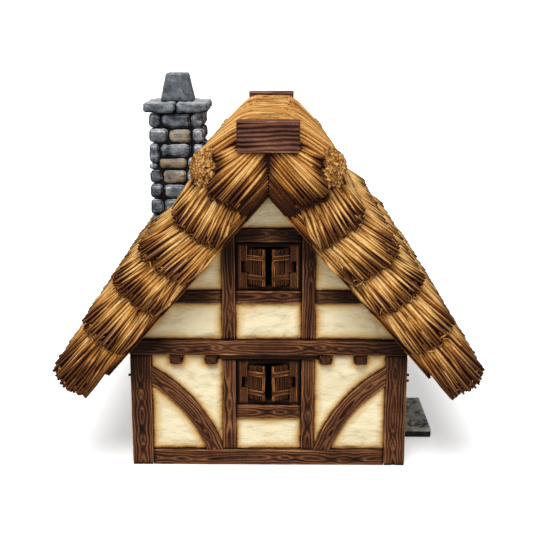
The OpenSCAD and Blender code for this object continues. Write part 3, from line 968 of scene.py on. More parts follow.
    def pegs(self, oak: Material) -> None:
        """Drives pegs into the outer sides of the corner posts.

        Args:
            oak: Material of the pegs.
        """
        low, high = box_mm("corner_posts")
        wide, narrow = self.peg_r
        shape = bmesh.new()
        for side, rises in ((-1, self.left_pegs), (1, self.right_pegs)):
            for place in (low[1] + self.peg_in, high[1] - self.peg_in):
                for rise in rises:
                    turn = Matrix.Rotation(side * math.pi / 2, 4, "Y")
                    spot = Matrix.Translation((side * (high[0] + self.peg_proud), place, rise))
                    bmesh.ops.create_cone(shape, cap_ends=True, segments=8, radius1=wide, radius2=narrow,
                                          depth=self.peg_l, matrix=spot @ turn)
        bmesh.ops.bevel(shape, geom=shape.edges[:], offset=self.peg_round, affect="EDGES", segments=1,
                        profile=0.5, material=-1)
        data = MeshData.taken_from(shape)
        data.masks = {"wash": 0.45 + 0.2 * value_noise(data.points, 77), "joint_and_shade": np.zeros(len(data.points))}
        publish("frame_pegs", data, oak, "timber")


@dataclass
class PlasterPanels:
    """Plaster between the timbers: trowelled, with soft sunken rims and a wash along the timbers."""

    nodes: tuple[str, ...] = ("front_plaster", "rear_plaster", "left_plaster", "right_plaster")
    step: float = 0.95
    rim_reach: float = 5.2
    rim_sink: float = 0.55
    rim_soft: float = 0.8
    stroke_mm: Span = (9.0, 3.4)
    stroke_lean: float = 0.3
    dent_mm: float = 3.6
    broad_mm: float = 11.0
    worked_mm: float = 6.5
    crease_soft: float = 0.11
    crease_deep: float = 0.5
    skim: float = 0.25

    def build(self) -> None:
        """Builds one piece for each wall."""
        publish_each(self.nodes, "_trowelled", PLASTER.material(), "plaster", self.panel, (900, 40, 1))

    def panel(self, solid: Solid, seed: int) -> MeshData:
        """One panel in the place of a CAD solid.

        Args:
            solid: The CAD solid.
            seed: Picks the pattern.

        Returns:
            The panel, with its rim mask and its mask of creases and painted shade.
        """
        depth = int(np.argmin(solid.size[:2]))
        level = 1 - depth
        outer = solid.outer(depth)
        outline = self.outline(solid.shape, depth, level, outer)
        sliced(solid.shape, solid.low, solid.high, {Axis(level): self.step, Axis.Z: self.step})
        data = MeshData.taken_from(solid.shape)
        flat = data.points[:, [level, 2]]
        gap = np.full(len(flat), np.inf)
        for start, end in outline:
            run = end - start
            share = np.clip((flat - start) @ run / max(run @ run, TINY), 0, 1)
            gap = np.minimum(gap, np.linalg.norm(flat - start - share[:, None] * run, axis=1))
        lean = self.stroke_lean * flat[:, ::-1] / self.stroke_mm[0]
        strokes = value_noise(flat / self.stroke_mm + lean, seed)
        dents = value_noise(flat / self.dent_mm, seed + 1)
        broad = value_noise(flat / self.broad_mm, seed + 2)
        worked = np.clip(3.0 * value_noise(flat / self.worked_mm, seed + 3), 0, 1)
        crease = near(strokes, self.crease_soft) * worked
        sink = 0.16 * broad + 0.07 * dents + 0.2 * np.clip(strokes, -0.5, 0.5)
        sink = sink - self.crease_deep * crease - self.skim
        sink -= self.rim_sink * near(gap, self.rim_soft)
        front = np.abs(data.points[:, depth] - outer) < FLUSH
        data.points[:, depth] += np.where(front, sink * np.sign(outer), 0)
        uneven = 0.85 + 0.3 * value_noise(flat / self.stroke_mm[0], seed + 4)
        rim = np.clip(gap / (self.rim_reach * np.clip(uneven, 0.5, 1.2)), 0, 1)
        # Ochre-grey tint in the trowel creases and hollows, partly wash and partly painted shade, and painted
        # shade under the thatch
        crease_and_shade = 0.6 * crease + np.clip(-0.4 * broad, 0, 0.25) + 0.6 * painted_roof_shade(data.points)
        data.masks = {"rim": np.where(front, rim, 0), "crease_and_shade": np.clip(crease_and_shade, 0, 1) * front}
        return data

    @staticmethod
    def outline(shape: Shape, depth: int, level: int, outer: float) -> list[tuple[Array, Array]]:
        """Outline of a panel's outer face.

        Args:
            shape: The uncut panel.
            depth: Axis through the wall.
            level: Axis along the wall.
            outer: Place of the outer face.

        Returns:
            Two ends of each stretch of the outline.
        """
        found = []
        for edge in shape.edges:
            flush = all(abs(v.co[depth] - outer) < FLUSH for v in edge.verts)
            if flush and any(abs(face.normal[depth]) < 0.5 for face in edge.link_faces):
                found.append(tuple(np.array([v.co[level], v.co[2]]) for v in edge.verts))
        return found


@dataclass
class Joinery:
    """Window frames, plank shutters, and the door with its frame."""

    frames: tuple[str, ...] = ("front_window_frames", "rear_window_frames", "side_window_frames")
    shutters: tuple[str, ...] = ("front_shutters", "rear_shutters", "side_shutters")
    side_window: float = 22.0
    jamb: float = 4.2
    jamb_l: float = 19.0
    jamb_cut: float = 0.22
    # Distance in from a jamb's outer edge of the line painted as a highlight
    jamb_highlight_at: float = 1.5
    jamb_gap: float = 1.05
    fine: float = 0.34
    coarse: float = 1.2
    rise_step: float = 0.9
    planks: int = 4
    board_w: float = 7.8
    board_h: float = 14.9
    board_t: float = 1.3
    plank_gap: float = 0.3
    plank_slip: float = 0.25
    free_in: float = 0.6
    batten_h: float = 2.0
    batten_out: float = 0.6
    batten_in: float = 0.3
    batten_off: float = 3.9
    lug_h: float = 4.6
    lug_l: float = 2.0
    lug_lap: float = 0.4
    lug_thin: float = 0.1
    # How strongly the shutters are darkened as painted shade under the thatch
    shutter_shade: float = 0.7
    door_planks: int = 5
    door_gap: float = 0.2
    ledge_off: float = 11.0
    bar: float = 2.2
    grain: Grain = field(default_factory=lambda: Grain(pitch=0.7, depth=0.2, arris=0.32, knot_every=60.0))

    def build(self) -> None:
        """Builds the frames, the shutters and the door."""
        boards = BOARDS.material()
        publish_each(self.frames, "_grained", boards, "joinery", self.window_frame, (1500, 20, 1))
        publish_each(self.shutters, "_planked", boards, "joinery", self.shutter, (1700, 40, 8))
        publish("door_planked", joined(self.door()), boards, "joinery", "door")
        publish("door_frame_grained", joined(self.door_frame()), boards, "joinery", "door_frame")

    def plank(self, low: Array, high: Array, run: Axis, seed: int, wear: float = 0.0) -> MeshData:
        """Grained board in a given box.

        Args:
            low, high: Lowest and highest corner.
            run: Axis of its grain.
            seed: Picks the pattern.
            wear: How much paler its dry-brushed paint is.

        Returns:
            The board.
        """
        steps = np.full(3, self.fine)
        steps[run.value] = self.coarse
        data = MeshData.taken_from(stepped_box(low, high, steps))
        self.grain.carve_along(data, low, high, run.value, seed)
        data.masks = {"wash": np.clip(data.masks["wash"] + wear, 0, 1), "joint_and_shade": data.masks["joint_and_shade"] * 0.25}
        return data

    def window_frame(self, solid: Solid, seed: int) -> MeshData:
        """Frame of one window: two jambs with a notch for the shutter's lug, and a bar above and below.

        Args:
            solid: The CAD solid.
            seed: Picks the pattern.

        Returns:
            The frame.
        """
        depth = int(np.argmin(solid.size))
        level = 1 - depth
        steps = {Axis(level): self.fine, Axis.Z: self.rise_step, Axis(depth): self.coarse}
        sliced(solid.shape, solid.low, solid.high, steps)
        data = MeshData.taken_from(solid.shape)
        gaps = np.minimum(data.points - solid.low, solid.high - data.points)
        from_end, from_bar = gaps[:, level], gaps[:, 2]
        upright = from_end < self.jamb + FLUSH
        across = np.where(upright, data.points[:, level], data.points[:, 2])
        along = np.where(upright, data.points[:, 2], data.points[:, level])
        height = self.grain.lines(along - along.min(), across - solid.low[level], self.jamb / 2,
                                  self.jamb_l, seed)
        outer = solid.outer(depth)
        front = np.abs(data.points[:, depth] - outer) < FLUSH
        data.points[:, depth] -= np.where(front, np.sign(outer) * (1 - height) * self.jamb_cut, 0)
        # Jambs paler along the inner arris, and along a line near the outer edge as a painted highlight
        edge = 0.2 * near(from_end - self.jamb, 0.4) + 0.22 * near(from_end - self.jamb_highlight_at, 0.3)
        dark = np.where(front, np.exp(-(np.minimum(from_end, from_bar) / self.jamb_gap) ** 6), 0.85)
        wash = np.clip(0.1 + 0.68 * height + edge, 0, 1)
        data.masks = {"wash": np.where(front & upright, wash, 0.35 * wash), "joint_and_shade": dark}
        return data

    def shutter(self, solid: Solid, seed: int) -> MeshData:
        """Shutter in the place of a CAD solid: its planks, two battens and the lug of its hinge.

        Args:
            solid: The CAD solid.
            seed: Picks the pattern.

        Returns:
            Its boards.
        """
        depth = int(np.argmin(solid.size))
        level = 1 - depth
        outward = np.sign(solid.low[depth] + solid.high[depth])
        faces = [f for f in solid.shape.faces if abs(f.normal[2]) < 0.1 and f.normal[depth] * outward > 0.5]
        normal = np.array(max(faces, key=lambda f: f.calc_area()).normal)
        upward = np.array([0.0, 0.0, 1.0])
        across = np.cross(upward, normal)
        corners = np.array([v.co for v in solid.shape.verts])
        along = corners @ across
        tall = (corners[:, 2].min() + corners[:, 2].max()) / 2
        ends = np.array([along.min(), along.max()])
        middle = self.window_middle((solid.low[level] + solid.high[level]) / 2, level)
        tips = [np.abs(corners[np.argmin(np.abs(along - end)), level] - middle) for end in ends]
        way, free = (1, ends[0]) if tips[1] > tips[0] else (-1, ends[1])
        back = (corners @ normal).max() - self.batten_out - self.board_t
        solid.shape.free()
        parts = []

        def add(wide: Span, tall_: Span, deep: Span, run: Axis, wear: float) -> None:
            """Adds one board.

            Args:
                wide: Where it starts and ends, from the free edge.
                tall_: Its foot and head, from mid-height.
                deep: Its back and face, from the back of the shutter.
                run: Axis of its grain.
                wear: How much paler its dry-brushed paint is.
            """
            sides = np.sort([free + way * wide[0], free + way * wide[1]])
            low = np.array([sides[0], back + deep[0], tall_[0]])
            high = np.array([sides[1], back + deep[1], tall_[1]])
            board = self.plank(low, high, run, seed + len(parts), wear)
            place = np.outer(board.points[:, 0], across) + np.outer(board.points[:, 1], normal)
            board.points = place + np.outer(board.points[:, 2] + tall, upward)
            parts.append(board)

        half, gap, wide = self.board_h / 2, self.plank_gap / 2, self.board_w / self.planks
        for number in range(self.planks):
            start = number * wide
            slip = abs(self.plank_slip * math.sin(seed + 2.4 * number))
            add((max(start, self.free_in) + gap, start + wide - gap), (-half + slip * 0.6, half - slip),
                (0.0, self.board_t), Axis.Z, 0.18 if number == 0 else -0.12)
        for place in (-self.batten_off, self.batten_off):
            add((self.free_in, self.board_w), (place - self.batten_h / 2, place + self.batten_h / 2),
                (self.board_t - self.batten_in, self.board_t + self.batten_out), Axis.X, 0.06)
        add((self.board_w - self.lug_lap, self.board_w + self.lug_l), (-self.lug_h / 2, self.lug_h / 2),
            (self.lug_thin, self.board_t - self.lug_thin), Axis.X, -0.1)
        data = joined(parts)
        # Painted shade under the thatch, laid into the mask of dark joints
        shade = self.shutter_shade * painted_roof_shade(data.points)
        data.masks["joint_and_shade"] = np.maximum(data.masks["joint_and_shade"], shade)
        return data

    def window_middle(self, place: float, level: int) -> float:
        """Middle of the window that a shutter at some place along its wall belongs to."""
        return 0.0 if level == 0 else self.side_window * np.sign(place)

    def door(self) -> list[MeshData]:
        """Plank door with its two ledges.

        Returns:
            The boards.
        """
        low, high = box_mm("door")
        parts = []
        wide = (high[1] - low[1]) / self.door_planks
        gap = self.door_gap / 2
        for number in range(self.door_planks):
            foot = np.array([low[0], low[1] + number * wide + gap, low[2]])
            head = np.array([high[0] - self.batten_out, low[1] + (number + 1) * wide - gap, high[2]])
            parts.append(self.plank(foot, head, Axis.Z, 2100 + number))
        middle = (low[2] + high[2]) / 2
        half = self.batten_h / 2
        for number, rise in enumerate((-self.ledge_off, self.ledge_off)):
            back = high[0] - self.batten_out - self.batten_in
            foot = np.array([back, low[1] + self.batten_in, middle + rise - half])
            head = np.array([high[0], high[1] - self.batten_in, middle + rise + half])
            parts.append(self.plank(foot, head, Axis.Y, 2110 + number, 0.12))
        return parts

    def door_frame(self) -> list[MeshData]:
        """Frame of the door: two jambs and a head.

        Returns:
            The boards.
        """
        low, high = box_mm("door_frame")
        parts = []
        for number, start in enumerate((low[1], high[1] - self.bar)):
            foot = np.array([low[0], start, low[2]])
            head = np.array([high[0], start + self.bar, high[2] - self.bar])
            parts.append(self.plank(foot, head, Axis.Z, 2120 + number))
        parts.append(self.plank(np.array([low[0], low[1], high[2] - self.bar]), high, Axis.Y, 2125))
        return parts


@dataclass
class Draws:
    """Random values for a batch of strands, each set a column that spreads over the strands' vertices."""

    rng: np.random.Generator
    count: int

    @property
    def numbers(self) -> Array:
        """Number of each strand."""
        return np.arange(self.count)[:, None]

    def even(self, low: float, high: float) -> Array:
        """Values spread evenly between two ends."""
        return self.rng.uniform(low, high, (self.count, 1))

    def bell(self, middle: float, spread: float) -> Array:
        """Values heaped round a middle."""
        return self.rng.normal(middle, spread, (self.count, 1))


@dataclass
class Straw:
    """Batch of straw strands: one bent tube each, shaped from a few-sided template."""

    sides: int = 5
    rings: int = 4

    def __post_init__(self) -> None:
        """Shapes the unit tube along Z, closed at both ends, that every strand is bent from."""
        shape = bmesh.new()
        bmesh.ops.create_cone(shape, cap_ends=True, segments=self.sides, radius1=1, radius2=1, depth=1)
        along = [e for e in shape.edges if abs(e.verts[0].co.z - e.verts[1].co.z) > 0.5]
        if self.rings > 1:
            bmesh.ops.subdivide_edges(shape, edges=along, cuts=self.rings - 1)
        bmesh.ops.translate(shape, vec=(0, 0, 0.5), verts=shape.verts)
        self.tube = MeshData.taken_from(shape)

    def shares(self, count: int) -> Array:
        """Share of its strand's length at which each vertex lies, strands by vertices."""
        return np.repeat(self.tube.points[None, :, 2], count, 0)

    def laid(self, line: Lines, wide: Array, thick: Array, tone: Array, tip: Array, taper: Array,
             dark_from: Array, root_shade_to: Array | float = 0.0) -> MeshData:
        """Lays strands along given lines.

        Args:
            line: Middle lines of the strands, and the directions across and away from the surface.
            wide: Half width of each strand.
            thick: Half thickness of each strand.
            tone: Paler above 0, darker below.
            tip: How dark the end of each strand is.
            taper: Share of its width that each strand keeps at its end.
            dark_from: Share of its length at which each strand starts to darken.
            root_shade_to: Share of its length at which the dark at each strand's root has faded: painted
                shadow of what overlies the root, with wash.

        Returns:
            The strands, with crest and tip masks.
        """
        round_x, round_y, _ = self.tube.points.T
        share = self.shares(len(wide))
        middle, across, away = line
        width = wide * (1 - (1 - taper) * share ** 3) * (0.75 + 0.25 * np.minimum(1, share * 5))
        places = middle + across * (round_x * width)[..., None] + away * (round_y * thick)[..., None]
        crown = np.clip(0.12 + 0.88 * round_y, 0, 1)
        fade = np.clip((share - dark_from) / 0.3, 0, 1)
        # Roots painted dark where they lie under the butt above: painted shadow, with some wash
        root = np.clip(1.5 - 1.5 * share / np.maximum(root_shade_to, TINY), 0, 1) * (root_shade_to > 0)
        ends = np.maximum(tip * fade, root) * (1.0 - 0.35 * crown ** 2)
        crest = np.clip(0.2 + 0.66 * crown + tone - 0.45 * ends, 0, 1)
        return self.tube.repeated(places, {"crest": crest, "tip": ends})


@dataclass
class Roof:
    """Sizes that the layers of the roof share with their solids, and places on its slopes."""

    butts: tuple[float, ...] = (12.0, 27.0, 45.5, 61.51, 82.03, 104.03)
    tips: tuple[float, ...] = (27.2, 22.4, 23.3, 22.6, 20.3, 16.8)
    step: float = 3.0
    lap: float = 6.0
    nose_r: float = 8.0
    nose_taper: float = 1.5
    eave_lip: float = 1.5
    verge_low: float = 2.0
    verge_tuck: float = 0.3
    bundles: int = 16
    nose_bundles: int = 2
    bundle_h: float = 0.8
    roof_half: float = 84.0
    base_t: float = 7.0
    stack_low: Span = (-49.0, -36.0)
    stack_high: Span = (-25.5, -12.5)

    @property
    def level_half(self) -> float:
        """Half length of the stretch between the noses."""
        return self.roof_half - self.nose_r

    def placed(self, side: int, down: Array, out: Array, along: Array, apex: float = ROOF_APEX) -> Array:
        """Point of a slope in the shared frame.

        Args:
            side: 1 for the right-hand slope, -1 for the left-hand one.
            down: Distance down the slope from the apex.
            out: Height over the underside of the roof.
            along: Place along the house.
            apex: Height of the apex.

        Returns:
            Points, with a last axis of three.
        """
        cos, sin = math.cos(ROOF_PITCH), math.sin(ROOF_PITCH)
        return np.stack([side * (down * cos + out * sin), along, apex - down * sin + out * cos], -1)

    def turned(self, side: int, down: Array, out: Array, along: Array) -> Array:
        """Direction on a slope in the shared frame, from the same three parts as a point."""
        return self.placed(side, down, out, along, 0.0)


@dataclass
class Course(Roof):
    """One course on one slope: two layers of long strands, and cut ends and curls along its butt."""

    number: int = 1
    side: int = 1
    nose_hang: float = 2.4
    eave_hang: float = 2.8
    eave_swell: float = 2.2
    eave_round: float = 5.0
    gaps: Span = (1.25, 2.0)
    tuck: float = 2.5
    short: float = 0.3
    ragged: Span = (-0.7, 0.6)
    strand_w: Span = (0.6, 0.98)
    strand_t: Span = (0.5, 0.8)
    strand_h: Span = (-0.4, 0.1)
    # Length of the dark painted at each strand's root: painted shadow under the butt above, with some wash
    root_shade_l: Span = (5.0, 8.0)
    verge_from: float = 66.0
    verge_soft: float = 12.0
    butt_ends: tuple[int, float, float] = (4, 1.15, 3.4)
    eave_ends: tuple[int, float, float] = (12, 1.05, 15.0)
    end_l: Span = (2.0, 3.4)
    end_w: Span = (0.42, 0.85)
    eave_wide: float = 1.25
    curl_gap: float = 0.55
    curl_l: Span = (1.6, 3.6)
    curl_bend: float = 1.1
    curl_w: Span = (0.38, 0.62)
    eave_in: float = 1.3
    above: float = field(init=False)
    end: float = field(init=False)
    lowest: bool = field(init=False)
    reach: float = field(init=False)
    rng: np.random.Generator = field(init=False)

    def __post_init__(self) -> None:
        """Works out where the course starts and ends on the slope and round its outline."""
        self.above, self.end = self.butts[self.number - 1:self.number + 1]
        self.lowest = self.number == len(self.butts) - 1
        drop = self.tips[self.number] - self.nose_r - (self.eave_lip if self.lowest else self.verge_low)
        self.reach = self.level_half + self.nose_r * math.pi / 2 + drop
        self.rng = np.random.default_rng(3000 + 20 * self.number + self.side)

    def build(self) -> list[MeshData]:
        """Both layers, the cut ends and the curls."""
        return [self.strands(0), self.strands(1), self.cut_ends(), self.curls()]

    def outline(self, down: Array, round_: Array) -> tuple[Array, ...]:
        """Place on the outline of the course, across the slope.

        Args:
            down: Distance down the slope.
            round_: Distance round the outline from the middle of the house.

        Returns:
            Place along the house, height, and the two parts of the outward normal.
        """
        above, end = self.above, self.end
        start = self.tips[self.number - 1] - self.step
        share = (down - above) / (end - above)
        top = start + share * (self.tips[self.number] - start)
        half = self.roof_half - self.nose_taper * (end - down) / (end - above + self.lap)
        flat = half - self.nose_r
        way = np.sign(round_)
        past = np.abs(round_) - flat
        angle = np.clip(past / self.nose_r, 0, np.pi / 2)
        fall = np.maximum(past - self.nose_r * np.pi / 2, 0)
        level = np.minimum(np.abs(round_), flat)
        run = np.where(past < 0, (level / flat + 1) / 2 * self.bundles, angle / np.pi * 2 * self.nose_bundles)
        run = np.mod(run, 1.0)
        raised = self.bundle_h * np.clip(3 * np.minimum(run, 1 - run), 0, 1) * (fall == 0)
        out = top - self.nose_r + (self.nose_r + raised) * np.cos(angle) - fall
        tuck = self.verge_tuck * np.clip(self.base_t - out, 0, self.base_t) * (fall > 0)
        along = level + (self.nose_r + raised) * np.sin(angle) - tuck
        return way * along, out, way * np.sin(angle), np.cos(angle)

    def hang(self, seat: Array) -> Array:
        """How far the butt hangs below its line at the nose, or swells out at the eave.

        Args:
            seat: Distance round the outline.

        Returns:
            Distance down the slope.
        """
        longest, last = (self.eave_hang, 0.8) if self.lowest else (self.nose_hang, 1.0)
        share = np.clip((np.abs(seat) - self.level_half) / (self.reach - self.level_half), 0, last)
        return longest * np.sin(np.pi * share) ** 0.7

    def clear(self, seat: Array, down: Array) -> Array:
        """Which strands lie outside the chimney.

        Args:
            seat: Distance round the outline of each strand.
            down: Distance down the slope of each strand's middle.

        Returns:
            True for each strand that stays.
        """
        along, out, _, _ = self.outline(down, seat)
        flat = self.placed(self.side, down, out, along)[:, 0, :2]
        return ~np.all((flat > self.stack_low) & (flat < self.stack_high), axis=1)

    def seated(self, at: Array, down: Array, round_: Array, lift: Array) -> Lines:
        """Lines of strands on the outline.

        Args:
            at: Distance down the slope at which the outline is read.
            down: Distance down the slope of each point.
            round_: Its distance round the outline.
            lift: Its height over the outline.

        Returns:
            Points, and the directions across the strands and away from the roof.
        """
        along, out, lean, rise = self.outline(at, round_)
        spot = self.placed(self.side, down, out + lift * rise, along + lift * lean)
        still = np.zeros_like(down)
        across = self.turned(self.side, still, -lean * self.side, rise * self.side)
        return spot, across, self.turned(self.side, still, rise, lean)

    def strands(self, layer: int) -> MeshData:
        """Long strands of one layer.

        Args:
            layer: 0 for the full lower layer, 1 for the paler strands over it.

        Returns:
            The strands.
        """
        reach, gap = self.reach, self.gaps[layer]
        long = self.end - self.above
        draw = Draws(self.rng, int(2 * reach / gap))
        seat = (draw.numbers + draw.even(-0.3, 0.3)) * gap - reach + gap / 2
        top = self.above - self.tuck + layer * draw.even(2.0, self.short * long)
        foot = self.end + self.hang(seat) + draw.even(*self.ragged)
        foot -= layer * self.short * long * draw.even(0, 1) ** 2
        drift = draw.bell(0, 0.4 + 0.25 * layer)
        wide = draw.even(*self.strand_w) * (1.0 - 0.1 * layer)
        thick = draw.even(*self.strand_t)
        raised = draw.even(*self.strand_h) + 0.2 * layer
        sway = draw.even(-0.2, 0.2)
        keep = self.clear(seat, (top + foot) / 2)
        seat, top, foot, drift, wide, thick, raised, sway = (
            values[keep] for values in (seat, top, foot, drift, wide, thick, raised, sway))
        draw = Draws(self.rng, len(seat))
        on_nose = np.clip((np.abs(seat) - self.level_half + 2) / 4, 0, 1)
        past_middle = np.abs(seat) - self.level_half - self.nose_r * math.pi / 4
        flare = 0.3 * np.sign(seat) * past_middle * on_nose
        straw = Straw()
        share = straw.shares(draw.count)
        down = top + (foot - top) * share
        round_ = seat + drift * (share - 0.3) + sway * np.sin(share * 5)
        round_ = np.clip(round_ + flare * (share - 0.6), -reach, reach)
        lift = raised + 0.25 * share ** 2
        lift = lift + on_nose * (0.55 * share - 0.5 * np.clip(1 - share / 0.25, 0, 1))
        line = self.seated(down, down, round_, lift)
        verge = np.clip((np.abs(seat) - self.verge_from) / self.verge_soft, 0, 1)
        tone = draw.bell(0.13 + 0.07 * layer, 0.12) - 0.04 * verge - 0.05 * self.lowest
        dark = (0.65 if layer else 0.85) + 0.15 * verge
        tip = np.where(draw.even(0, 1) < dark, draw.even(0.75, 1.0), 0.25)
        tip = np.maximum(tip, 0.9 * verge * self.lowest)
        root_shade_to = draw.even(*self.root_shade_l) / (foot - top)
        taper = draw.even(0.6, 0.95) - (0.15 + 0.28 * layer) * on_nose
        dark_from = draw.even(0.36, 0.6) + 0.14 * layer - 0.05 * verge - 0.15 * self.lowest
        return straw.laid(line, wide, thick, tone, tip, taper, dark_from, root_shade_to)

    def cut_ends(self) -> MeshData:
        """Ragged cut ends at the butt, in rows one under the other.

        Returns:
            The ends.
        """
        end, reach = self.end, self.reach
        rows, pitch, deep = self.eave_ends if self.lowest else self.butt_ends
        draw = Draws(self.rng, int(2 * reach / pitch) * rows)
        seat = draw.even(-reach, reach)
        sunk = (draw.numbers % rows + draw.even(0.1, 0.9)) * deep / rows
        start = end - draw.even(*self.end_l)
        slack = draw.even(-0.9, 0.9) - 0.12 * sunk
        low = self.hang(seat)
        if self.lowest:
            swell = np.minimum(sunk, deep - sunk) / self.eave_round
            low = np.maximum(self.eave_swell * np.clip(swell, 0, 1), low)
            slack = draw.even(-0.8, 0.9)
        start, slack = start + low, slack + low
        lean = draw.bell(0, 0.45)
        keep = self.clear(seat, np.full_like(seat, end))
        keep &= (np.abs(seat) < reach - sunk * 0.3)[:, 0]
        seat, sunk, start, slack, lean = (values[keep] for values in (seat, sunk, start, slack, lean))
        draw = Draws(self.rng, len(seat))
        twist = draw.bell(0, 0.7)
        straw = Straw(4, 1)
        share = straw.shares(draw.count)
        down = start + (end + slack - start) * share
        line = self.seated(np.full_like(down, end), down, seat + twist * share, lean * share - sunk)
        size = draw.even(*self.end_w) * (self.eave_wide if self.lowest else 1.0)
        tone = draw.bell(-0.3 if self.lowest else -0.2, 0.15)
        return straw.laid(line, size, size * draw.even(0.7, 1.0), tone, draw.even(0.5, 1.0),
                          draw.even(0.5, 1.0), draw.even(0.2, 0.6))

    def curls(self) -> MeshData:
        """Short bent stalks that lie along the butt.

        Returns:
            The stalks.
        """
        end, reach = self.end, self.reach
        seat = Draws(self.rng, int(2 * reach / self.curl_gap)).even(-reach, reach)
        seat = seat[self.clear(seat, np.full_like(seat, end))]
        draw = Draws(self.rng, len(seat))
        long = draw.even(*self.curl_l)
        bend = draw.even(-self.curl_bend, self.curl_bend)
        place = end + self.hang(seat) + draw.even(-1.4, 1.0) - self.eave_in * self.lowest
        sunk = draw.even(0.3, 1.9) - 0.7 * (np.abs(seat) > self.level_half)
        turn = draw.even(0, 6)
        straw = Straw(4, 3)
        share = straw.shares(draw.count)
        down = place + bend * np.sin(share * 5 + turn)
        round_ = np.clip(seat + long * (share - 0.5), -reach, reach)
        lift = 0.5 * np.cos(share * 4 + turn) - sunk
        spot, _, away = self.seated(np.full_like(down, end), down, round_, lift)
        still = np.zeros_like(down)
        line = spot, self.turned(self.side, still + 1, still, still), away
        size = draw.even(*self.curl_w)
        return straw.laid(line, size, size, draw.bell(-0.06, 0.14), draw.even(0.1, 0.9),
                          draw.even(0.6, 1.0), draw.even(-0.3, 0.3))


